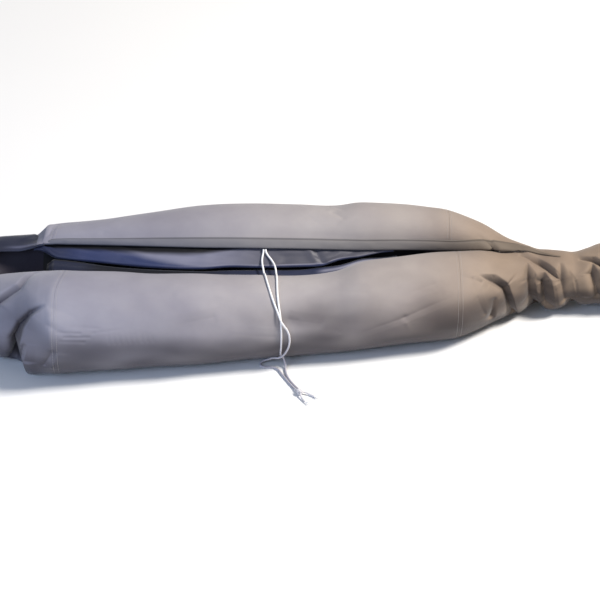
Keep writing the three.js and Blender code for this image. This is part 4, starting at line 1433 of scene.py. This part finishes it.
@dataclass
class Lining:
    """The navy lining: two folds in the valley, and a cuff turned out over the low left end."""

    form: GatheredForm
    thickness: float = 2.5
    step: float = 2.6
    across: int = 46
    upper: tuple[float, float] = (-534.0, 188.0)
    lower: tuple[float, float] = (-506.0, 194.0)
    cuff: tuple[float, float] = (-698.0, -512.0)
    wrinkle: float = 1.5
    pinch_at: float = 40.0

    def drape(
        self, node: str, x: Array, line: Array, marks: dict[str, Array]
    ) -> Piece:
        """Make one fold of the lining.

        Args:
            node: The CAD node that it stands for.
            x: Its places along the bundle.
            line: Its line of (y, z) in each section.
            marks: Its tone, lowered for painted sheen and highlights, and its painted shade at each place of
                the line.

        Returns:
            The fold.
        """
        rings = {}
        for key, mark in marks.items():
            far, near = np.repeat(mark[:, -1:], 4, 1), np.repeat(mark[:, :1], 4, 1)
            rings[key] = np.concatenate([mark, far, mark[:, ::-1], near], 1)
        grid = with_x(x, sheet_rings(line, self.thickness))
        piece = dress(node, node + "_cloth", [grid], rings, Slot.LINING)
        return piece

    def wrinkled(self, x: Array, line: Array, seed: int, free: Array) -> Array:
        """Ruffle a fold's line across its own run.

        Args:
            x: Places along the bundle.
            line: The fold's line of (y, z) in each section.
            seed: The fixed seed.
            free: How freely each place of the line moves, from 0 to 1.

        Returns:
            The ruffled line.
        """
        step = np.gradient(line, axis=1)
        run = np.cumsum(np.linalg.norm(step, axis=-1), 1)
        wave = Ripple(seed, 34.0, 7.0).at(x[:, None] + 3.0 * run, run)
        fine = Ripple(seed + 1, 13.0, 6.0).at(x[:, None] - 1.4 * run, run)
        clear = 0.15 + 0.85 * smooth(8.0, 34.0, np.abs(x + 62.0))[:, None]
        return line + quarter(unit(step)) * (self.wrinkle * free * clear * (wave + 0.35 * fine))[..., None]

    def on_wall(self, x: Array, start: float, further: tuple[float, float]) -> Array:
        """Return two places (y, z) on the valley's wall, clear of the cloth by half the lining."""
        s = start + self.form.valley / 7.0 * np.array(further)
        points, off = self.form.lines(x, s)
        return points + off * (GAP + self.thickness / 2.0)

    def upper_line(self, x: Array) -> Array:
        """Return the upper fold's line: from under itself round its nose to the seam behind the hem.

        Args:
            x: Places along the bundle.

        Returns:
            Corners, as an array of sections, corners and (y, z).
        """
        sewn = self.on_wall(x, self.form.hem, (-1.0, -0.6))
        root = sewn[:, 1]
        narrow = 0.75 * smooth(self.pinch_at + 70.0, self.upper[1] + 2.0, x)
        narrow = narrow + 0.7 * smooth(-484.0, self.upper[0] - 2.0, x)
        nose = pairs(LINING.at("upper_y", x), LINING.at("upper_z", x))
        nose = mix(nose, root - np.array([0.0, 2.0]), narrow[:, None])
        back = np.minimum(22.0 * (1.0 - narrow), root[:, 0] - nose[:, 0])
        drop = mix(6.5, 4.0, smooth(self.pinch_at, self.pinch_at + 80.0, x)) * (1.0 - 0.7 * narrow)
        swell = LINING.at("swell", x) * (1.0 - narrow)
        under = [nose + pairs(*step) for step in ((back, -drop), (back * 0.4, -drop), (0.4, -drop * 0.6))]
        rises = ((0.92, 0.4), (0.7, 0.9), (0.35, 0.9))
        over = [mix(root, nose, t) + pairs(0.0, swell * rise) for t, rise in rises]
        return np.stack([*under, nose, *over, root, sewn[:, 0]], 1)

    def lower_line(self, x: Array) -> Array:
        """Return the lower fold's line: up the valley's wall, round its nose and over its ridge.

        Args:
            x: Places along the bundle.

        Returns:
            Corners, as an array of sections, corners and (y, z).
        """
        seat = self.on_wall(x, self.form.roll, (1.0, 0.5))
        sink = smooth(120.0, self.lower[1] + 2.0, x)
        down = 5.5 * sink + 13.0 * smooth(-490.0, self.lower[0], x)
        nose = pairs(LINING.at("lower_y", x), LINING.at("lower_z", x) - down)
        reach, rise = LINING.at("reach", x) * (1.0 - 0.5 * sink), LINING.at("rise", x)
        ridge = ((0.5, 0, 0.7, 0), (1, 0, 1, 0), (1, 5, 1, -3), (1, 12, 1, -10))
        over = [nose + pairs(reach * part + out, rise * share + up) for part, out, share, up in ridge]
        return np.stack([seat[:, 0], seat[:, 1], nose, *over], 1)

    def upper_fold(self, share: Array) -> Piece:
        """Build the upper fold, with a painted sheen on its top face, a painted highlight along its nose, and
        painted shade under it and by its seam.

        Args:
            share: Places along its line, from 0 to 1.

        Returns:
            The fold.
        """
        x = stations(*self.upper, self.step)
        at = x[:, None]
        free = smooth(0.3, 0.5, share) * (1.0 - smooth(0.78, 0.9, share))
        line = self.wrinkled(x, spline(self.upper_line(x), share), Seed.UPPER_FOLD, free)
        across = at - self.pinch_at + 46.0 * (share - 0.5)
        bulge = 2.2 * bell(across, -8.0, 60.0**0.5) - 3.0 * bell(across, 6.0, 40.0**0.5)
        line[..., 1] += bulge * free
        # Painted sheen: the top face is lighter where light glances off it
        edge = mix(0.8, 0.44, smooth(-430.0, -150.0, at))
        top = smooth(-0.1, 0.04, share - edge) * smooth(-410.0, -300.0, at)
        # Painted highlight along the nose
        nose = bell(share, 0.41, 0.035) * smooth(-320.0, -180.0, at)
        tone = 0.95 - mix(0.72, 0.78, smooth(-200.0, 10.0, at)) * top - 0.4 * nose
        # Painted shade by the seam behind the hem, under the fold, at its low x end, on the top face toward
        # high x and at the pinch
        seam = smooth(0.0, 0.1, share - mix(0.66, 0.8, smooth(-240.0, -60.0, at)))
        crease_and_painted_shade = np.maximum(seam, 1.0 - smooth(0.2, 0.32, share))
        crease_and_painted_shade = np.maximum(crease_and_painted_shade, 0.5 * (1.0 - smooth(-500.0, -420.0, at)))
        crease_and_painted_shade = np.maximum(crease_and_painted_shade, 0.66 * smooth(-230.0, -20.0, at) * top * (1.0 - 0.6 * nose))
        crease_and_painted_shade = np.maximum(crease_and_painted_shade, 0.5 * bell(across, 10.0, 50.0**0.5))
        marks = {"tone": np.clip(tone, 0.0, 1.0), "crease_and_painted_shade": crease_and_painted_shade}
        return self.drape("lining_upper_fold", x, line, marks)

    def lower_fold(self, share: Array) -> Piece:
        """Build the lower fold, with a painted highlight along its ridge toward its high x end and painted
        shade over the rest.

        Args:
            share: Places along its line, from 0 to 1.

        Returns:
            The fold.
        """
        x = stations(*self.lower, self.step)
        at = x[:, None]
        free = smooth(0.2, 0.36, share) * (1.0 - smooth(0.6, 0.72, share))
        line = self.wrinkled(x, spline(self.lower_line(x), share), Seed.LOWER_FOLD, 0.5 * free)
        # Painted highlight along the ridge toward high x
        ridge = smooth(24.0, 54.0, at) * bell(share, 0.42, 0.12)
        # Painted shade over the fold, deepest at its low x end and where it runs under the upper fold
        dark = smooth(-452.0, -390.0, at) * (1.0 - 0.8 * smooth(-230.0, -120.0, at))
        base = mix(0.72, 0.5, smooth(-260.0, 20.0, at)) + 0.24 * dark
        crease_and_painted_shade = np.maximum(smooth(0.55, 0.68, share), base) * (1.0 - 0.9 * ridge)
        crease_and_painted_shade = np.maximum(crease_and_painted_shade, 0.97 * smooth(-494.0, self.lower[0] + 2.0, at))
        marks = {"tone": 0.95 - 0.8 * ridge, "crease_and_painted_shade": crease_and_painted_shade}
        return self.drape("lining_lower_fold", x, line, marks)

    def turned_cuff(self, share: Array) -> Piece:
        """Build the cuff.

        Args:
            share: Places along its line, from 0 to 1.

        Returns:
            The cuff.
        """
        x = stations(*self.cuff, self.step)
        total = mix(55.0, 12.0, smooth(-542.0, self.cuff[1] + 4.0, x))[:, None]
        points, off = self.form.up_flap(x, share * total)
        line = points + off * (GAP + 0.1 + self.thickness / 2.0)
        # Painted highlight along one lit line, and painted shade over the rest of the cuff
        lit = bell(share, 0.12, 0.08) * smooth(-604.0, -560.0, x)[:, None]
        marks = {"tone": 0.85 - 0.25 * lit, "crease_and_painted_shade": 0.72 - 0.5 * lit}
        return self.drape("lining_cuff", x, line, marks)

    def build(self) -> list[Piece]:
        """Build the two folds and the cuff."""
        share = np.linspace(0.0, 1.0, self.across)
        return [self.upper_fold(share), self.lower_fold(share), self.turned_cuff(share)]


@dataclass
class Braid:
    """A round braided cord with its strands as low relief."""

    diameter: float = 4.0
    sides: int = 16
    step: float = 0.55
    strands: int = 4
    pitch: float = 3.4
    relief: float = 0.12
    closing: float = 1.2

    def tube(self, points: Array, closed: bool = False) -> tuple[Array, Array]:
        """Build the cord along a line.

        Args:
            points: Places that the cord's centre passes.
            closed: Whether the far end narrows to a tip.

        Returns:
            Rings of points, and how deep each lies between two strands.
        """
        line = through(points, self.step)
        ahead = np.gradient(line, axis=0)
        ahead /= np.linalg.norm(ahead, axis=-1, keepdims=True)
        side = np.cross(ahead[0], (0.0, 0.0, 1.0))
        if np.linalg.norm(side) < 0.1:
            side = np.cross(ahead[0], (1.0, 0.0, 0.0))
        sides = np.empty_like(line)
        for k, direction in enumerate(ahead):
            side = side - direction * np.dot(side, direction)
            side /= np.linalg.norm(side)
            sides[k] = side
        over = np.cross(ahead, sides)
        turn = np.linspace(0.0, -2.0 * math.pi, self.sides, endpoint=False)
        run = np.arange(len(line))[:, None] * self.step
        twist = 2.0 * math.pi * run / self.pitch
        ridge = np.maximum(np.cos(self.strands * turn + twist), np.cos(self.strands * turn - twist))
        radius = self.diameter / 2.0 * (1.0 - self.relief * (1.0 - ridge) / 2.0)
        if closed:
            radius = radius * np.sqrt(np.clip((run[-1] - run) / self.closing, 0.02, 1.0))
        round_it = np.cos(turn)[:, None] * sides[:, None] + np.sin(turn)[:, None] * over[:, None]
        return line[:, None] + radius[..., None] * round_it, np.clip((1.0 - ridge) * 0.9, 0.0, 1.0)


@dataclass(frozen=True)
class Strand:
    """One end of the drawcord, from its opening in the casing to the knot."""

    node: str
    length: float
    from_casing: tuple[Triple, ...]
    over_roll: tuple[Triple, ...]
    on_floor: tuple[Triple, ...]

    def route(self, form: GatheredForm, radius: float) -> Array:
        """Return the places in millimetres that the middle of a cord passes on the cloth."""
        rolled = [form.on_roll(x, angle, radius + above) for x, angle, above in self.over_roll]
        return np.array([*self.from_casing, *rolled, *self.on_floor], float)


STRANDS = (
    Strand(
        "drawcord_a",
        0.5,
        (
            (-72.9, 46, 163), (-73.3, 42, 158.5), (-74.6, 36, 154.4), (-75.6, 28, 150.8),
            (-75.2, 18, 147.8), (-73.4, 4, 146),
        ),
        (
            (-71.2, 47, 2.2), (-70.2, 57, 0.8), (-68.8, 72, 0.5), (-65.6, 88, 0.5),
            (-60.6, 105, 0.5), (-53.5, 122, 0.5), (-46, 136, 1), (-42, 143, 3.8), (-37.4, 151.5, 5),
            (-31, 159, 3.8), (-26, 165, 1), (-21.5, 174, 0.5), (-20.4, 184, 0.5), (-22.5, 195, 0.6),
            (-28, 206, 2.5), (-35, 213.5, 5), (-43, 219, 4.6), (-53, 225, 1.5),
        ),
        (
            (-64, -118.5, 11), (-72, -116, 6.5), (-78, -119, 3.4), (-78, -126, 2.1), (-71, -131, 2.1),
            (-60, -131.5, 2.1), (-50, -134, 2.1), (-42, -142, 2.1), (-35.5, -156, 2.1),
            (-28, -171, 2.1), (-20, -187, 2.1), (-12.5, -200.5, 2.6), (-6.4, -212, 4.8),
        ),
    ),
    Strand(
        "drawcord_b",
        0.43,
        (
            (-68.7, 46, 163), (-67.4, 42, 158.5), (-63.4, 36, 154.4), (-57.4, 28, 150.8),
            (-52.2, 18, 147.8), (-48.8, 4, 146),
        ),
        (
            (-47.2, 47, 2.2), (-46.8, 57, 0.8), (-46.3, 72, 0.5), (-45.4, 88, 0.5), (-45, 100, 0.5),
            (-44.2, 114, 0.5), (-41.8, 130, 0.4), (-39, 143, 0.4), (-37.6, 153, 0.4), (-37, 164, 0.4),
            (-36.8, 179, 0.4), (-37.5, 196, 0.4), (-38.3, 207, 0.4), (-37.8, 216, 0.4), (-34.5, 224, 0.6),
        ),
        (
            (-31, -124, 13), (-29.5, -129, 6.5), (-29, -135, 2.8), (-28.5, -143, 2.1), (-26.5, -156, 2.1),
            (-21.8, -171, 2.1), (-14.2, -187, 2.1), (-7.2, -200, 2.6), (-0.9, -211.6, 5),
        ),
    ),
)
TIPS = np.array(
    (
        ((8, -219, 5.6), (15, -221, 3.2), (22, -225.5, 2.1), (29, -231, 2.1)),
        ((1.6, -230, 5), (4.2, -237, 2.6), (7.4, -243, 2.1), (10.6, -248, 2.1)),
    )
)


@dataclass
class Drawcord:
    """The white drawcord: two ends over the roll, and the knot that joins them."""

    form: GatheredForm
    braid: Braid = field(default_factory=Braid)
    knot_middle: Triple = (-1.0, -220.0, 6.0)
    knot_heading: float = -70.0
    knot_turns: float = 2.3
    knot_reach: float = 5.0
    knot_radius: float = 3.7

    def piece(self, node: str, name: str, tubes: list[tuple[Array, Array]]) -> Piece:
        """Make one piece, with painted shade between its strands and low down near the floor, less at the
        knot.

        Args:
            node: The CAD node that it stands for.
            name: The piece's name.
            tubes: The rings of each tube, and how deep their places are between two strands.

        Returns:
            The piece.
        """
        dark = []
        for rings, deep in tubes:
            # Painted shade: between the strands, and low down where the roll and floor shade the cord
            at_knot = smooth(-200.0, -214.0, rings[..., 1])
            low = 0.95 * smooth(160.0, 0.0, rings[..., 2]) * (1.0 - 0.5 * at_knot)
            dark.append(np.clip(0.35 * deep + low, 0.0, 1.0).ravel())
        return dress(node, name, [rings for rings, _ in tubes], {"crease_and_painted_shade": np.concatenate(dark)}, Slot.CORD)

    def knot(self) -> Piece:
        """Build the knot: one end wound round the other, and both free tips."""
        heading = math.radians(self.knot_heading)
        ahead = np.array((math.cos(heading), math.sin(heading), 0.0))
        aside = np.array((-ahead[1], ahead[0], 0.0))
        up = np.array((0.0, 0.0, 1.0))
        middle = np.array(self.knot_middle)
        t = np.linspace(0.0, 1.0, 40)[:, None]
        turn = 2.0 * math.pi * self.knot_turns * t
        coil = middle + self.knot_radius * (aside * np.cos(turn) + up * np.sin(turn))
        coil = coil + ahead * (2.0 * t - 1.0) * self.knot_reach
        core = [middle - ahead * 9.0, middle, middle + ahead * 6.0]
        tubes = [self.braid.tube(np.concatenate(line), True) for line in ((coil, TIPS[0]), (core, TIPS[1]))]
        return self.piece("drawcord_knot", "drawcord_knot_tied", tubes)

    def build(self) -> list[Piece]:
        """Build the knot and both ends, and say what they are."""
        knot = self.knot()
        made = [knot]
        for strand in STRANDS:
            route = strand.route(self.form, self.braid.diameter / 2.0)
            piece = self.piece(strand.node, strand.node + "_braid", [self.braid.tube(route)])
            line = through(route, 4.0)
            run = np.linalg.norm(np.diff(line, axis=0), axis=-1).sum()
            log.info("%s runs %.0f mm", strand.node, run)
            made.append(piece)
        return made


@cache
def stitch_row() -> bpy.types.NodeTree:
    """Return the tree that turns lines into evenly spaced stitches that point along them."""
    inputs = {"Geometry": "geometry", **STITCH, "Material": "material"}
    tree = Tree.group("stitch row", "GeometryNodeTree", inputs, {"Geometry": "geometry"})
    start = tree.start
    line = tree.add("GeometryNodeMeshToCurve", {"Mesh": start["Geometry"]}).outputs["Curve"]
    spaced = tree.add("GeometryNodeResampleCurve", mode="LENGTH")
    tree.fill(spaced, {"Curve": line, "Length": start["Pitch"]})
    ball = tree.add("GeometryNodeMeshUVSphere", {"Segments": 6, "Rings": 5, "Radius": 0.5})
    tangent = tree.add("GeometryNodeInputTangent").outputs[0]
    aim = tree.add("FunctionNodeAlignEulerToVector", {"Vector": tangent}, axis="Z")
    wide = start["Thickness"]
    size = tree.add("ShaderNodeCombineXYZ", {"X": wide, "Y": wide, "Z": start["Length"]})
    laid = {
        "Points": spaced.outputs["Curve"],
        "Instance": ball.outputs["Mesh"],
        "Rotation": aim.outputs[0],
        "Scale": size.outputs[0],
    }
    row = tree.add("GeometryNodeInstanceOnPoints", laid).outputs["Instances"]
    real = tree.add("GeometryNodeRealizeInstances", {0: row}).outputs[0]
    shaded = tree.add("GeometryNodeSetShadeSmooth", {0: real}).outputs[0]
    dressed = tree.add("GeometryNodeSetMaterial", {"Geometry": shaded, "Material": start["Material"]})
    tree.fill(tree.end, {"Geometry": dressed.outputs["Geometry"]})
    return tree.tree


@cache
def fibre_tuft() -> bpy.types.NodeTree:
    """Return the tree that turns lines into round fibres."""
    inputs = {"Geometry": "geometry", **FIBRE, "Material": "material"}
    tree = Tree.group("fibre tuft", "GeometryNodeTree", inputs, {"Geometry": "geometry"})
    line = tree.add("GeometryNodeMeshToCurve", {0: tree.start["Geometry"]}).outputs[0]
    half = tree.math("MULTIPLY", tree.start["Thickness"], 0.5)
    ring = tree.add("GeometryNodeCurvePrimitiveCircle", {"Resolution": 5, "Radius": half}).outputs[0]
    swept = {"Curve": line, "Profile Curve": ring, "Fill Caps": True}
    fibre = tree.add("GeometryNodeCurveToMesh", swept).outputs[0]
    real = tree.add("GeometryNodeRealizeInstances", {0: fibre}).outputs[0]
    dressed = tree.add("GeometryNodeSetMaterial", {"Geometry": real, "Material": tree.start["Material"]})
    tree.fill(tree.end, {"Geometry": dressed.outputs[0]})
    return tree.tree


def along_lines(
    name: str, lines: list[Array], tree: bpy.types.NodeTree, inputs: dict[str, object]
) -> Piece:
    """Make one piece with a Geometry Nodes tree that follows lines.

    Args:
        name: The piece's name.
        lines: The lines that it follows, in millimetres.
        tree: The tree.
        inputs: The tree's inputs by name.

    Returns:
        The piece as one mesh, without its modifier.
    """
    mesh = bpy.data.meshes.new(name)
    points, edges = [], []
    for line in lines:
        edges += [(len(points) + i, len(points) + i + 1) for i in range(len(line) - 1)]
        points += (line * MM).tolist()
    mesh.from_pydata(points, edges, [])
    guide = link(name + "_guide", mesh)
    modifier = guide.modifiers.new(tree.name, "NODES")
    modifier.node_group = tree
    sockets = {item.name: item.identifier for item in tree.interface.items_tree if item.in_out == "INPUT"}
    for key, value in inputs.items():
        modifier[sockets[key]] = value
    graph = bpy.context.evaluated_depsgraph_get()
    plain = bpy.data.meshes.new_from_object(guide.evaluated_get(graph))
    bpy.data.objects.remove(guide)
    plain.name = name
    piece = link(name, plain)
    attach(piece, ROOT)
    return piece


@dataclass
class Frayed:
    """The loose fibres at the drawcord's cut tips."""

    per_tip: int = 26
    fibre_points: int = 6

    def build(self) -> Piece:
        """Build the fibres of both tips as one piece."""
        rng = np.random.default_rng(int(Seed.FIBRES))
        run = np.linspace(0.0, 1.0, self.fibre_points)[:, None]
        fibres = []
        for tip in TIPS:
            ahead = unit(tip[-1] - tip[-2])
            for _ in range(self.per_tip):
                lean = rng.normal(0.0, 0.42, 3)
                length = rng.uniform(4.0, 9.0)
                root = tip[-1] - ahead * 1.5 + rng.uniform(-0.9, 0.9, 3)
                fibre = root + length * (ahead * run + lean * run**1.6)
                fibre[:, 2] = np.maximum(fibre[:, 2], 0.5)
                fibres.append(fibre)
        inputs = {**FIBRE, "Material": MATERIALS[Slot.CORD]}
        return along_lines("drawcord_tip_fibres", fibres, fibre_tuft(), inputs)


@dataclass
class Seams:
    """The stitches beside both cross seams and along the casing's upper edge."""

    form: GatheredForm
    casing: CordCasing
    beside: float = 4.5
    first: float = 3.0
    proud: float = 0.12

    def sew(self, name: str, lines: list[Array]) -> Piece:
        """Sew rows of stitches along lines as one piece."""
        return along_lines(name, lines, stitch_row(), {**STITCH, "Material": THREAD})

    def beside_seam(self, name: str, seam: float) -> Piece:
        """Sew a row on each side of a cross seam.

        Args:
            name: The piece's name.
            seam: The seam's place.

        Returns:
            The stitches as one mesh.
        """
        s = np.arange(self.first, self.form.around - self.form.floor, READ_STEP)
        lines = []
        for side in (-1.0, 1.0):
            x = np.array([seam + side * self.beside])
            points, off = self.form.lines(x, s)
            row = with_x(x, points + off * self.proud)[0]
            row[:, 0] += self.form.slanted(x, s)[0]
            lines.append(row)
        return self.sew(name, lines)

    def build(self) -> list[Piece]:
        """Sew every row."""
        seams = (("left_seam_stitches", LEFT_SEAM), ("right_seam_stitches", RIGHT_SEAM))
        made = [self.beside_seam(*seam) for seam in seams]
        x = stations(self.casing.start + 4, self.casing.end - 60, 3.0)
        points, off = self.form.up_flap(x, self.casing.stitched * self.form.band(x)[:, None])
        line = with_x(x, points + off * (self.casing.thickness * 0.3 + GAP))[:, 0]
        return [*made, self.sew("casing_stitches", [line])]


@dataclass
class Studio:
    """The pale floor, the soft lights and the camera."""

    elevation: float = 35.0
    distance: float = 7.2
    lens: float = 216.0
    target: Triple = (0.0, 0.0, 0.072)
    floor_half: float = 12.0
    floor_drop: float = 0.0008

    def camera(self) -> None:
        """Place the camera at the photograph's viewing angle."""
        data = bpy.data.cameras.new("camera")
        data.lens = self.lens
        data.sensor_width = 36.0
        data.clip_start, data.clip_end = 0.1, 60.0
        camera = link("camera", data)
        up = math.radians(self.elevation)
        back = Vector((0.0, -math.cos(up), math.sin(up)))
        camera.location = Vector(self.target) + back * self.distance
        camera.rotation_euler = (-back).to_track_quat("-Z", "Y").to_euler()
        bpy.context.scene.camera = camera

    def light(self, name: str, place: Triple, size: float, power: float, color: Triple) -> None:
        """Add a soft light that faces the bundle.

        Args:
            name: The light's name.
            place: Where it stands, in metres.
            size: The side of its square.
            power: Its power in watts.
            color: Its colour.
        """
        data = bpy.data.lights.new(name, "AREA")
        data.size, data.energy, data.color = size, power, color
        lamp = link(name, data)
        lamp.location = place
        lamp.rotation_euler = (-Vector(place)).to_track_quat("-Z", "Y").to_euler()

    def floor(self) -> None:
        """Lay the pale floor."""
        made, tree, place, shader = start_material("pale floor")
        tone = tree.blend(tree.noise(place, 3.0), (0.86,) * 3, (0.84,) * 3)
        tree.fill(shader, {"Base Color": tone, "Roughness": 0.9})
        around = ((-1, -1), (1, -1), (1, 1), (-1, 1))
        corners = [(x * self.floor_half, y * self.floor_half, -self.floor_drop) for x, y in around]
        make_piece("floor", np.array(corners), [(0, 1, 2, 3)], [made])

    def build(self) -> None:
        """Set up the whole studio."""
        self.camera()
        self.floor()
        scene = bpy.context.scene
        scene.view_settings.view_transform = "Standard"
        scene.world = bpy.data.worlds.new("studio")
        scene.world.use_nodes = True
        sky = scene.world.node_tree.nodes["Background"].inputs
        sky["Color"].default_value = (0.9, 0.93, 1.0, 1.0)
        sky["Strength"].default_value = 0.28
        self.light("key", (4.0, -0.3, 4.7), 1.5, 540.0, (1.0, 0.95, 0.88))
        self.light("fill", (-2.0, -2.2, 1.7), 1.6, 42.0, (0.52, 0.68, 1.0))


def main() -> None:
    """Build the scene, piece by piece."""
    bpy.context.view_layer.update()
    Studio().build()
    cloth = OuterCloth()
    Settling(cloth.form).run()
    casing = CordCasing(cloth.form)
    pieces = [*cloth.build(), casing.build(), *Lining(cloth.form).build()]
    pieces += [*Drawcord(cloth.form).build(), Frayed().build(), *Seams(cloth.form, casing).build()]
    for piece in pieces:
        log.info("%s has %d faces", piece.name, len(piece.data.polygons))


if __name__ == "__main__":
    main()
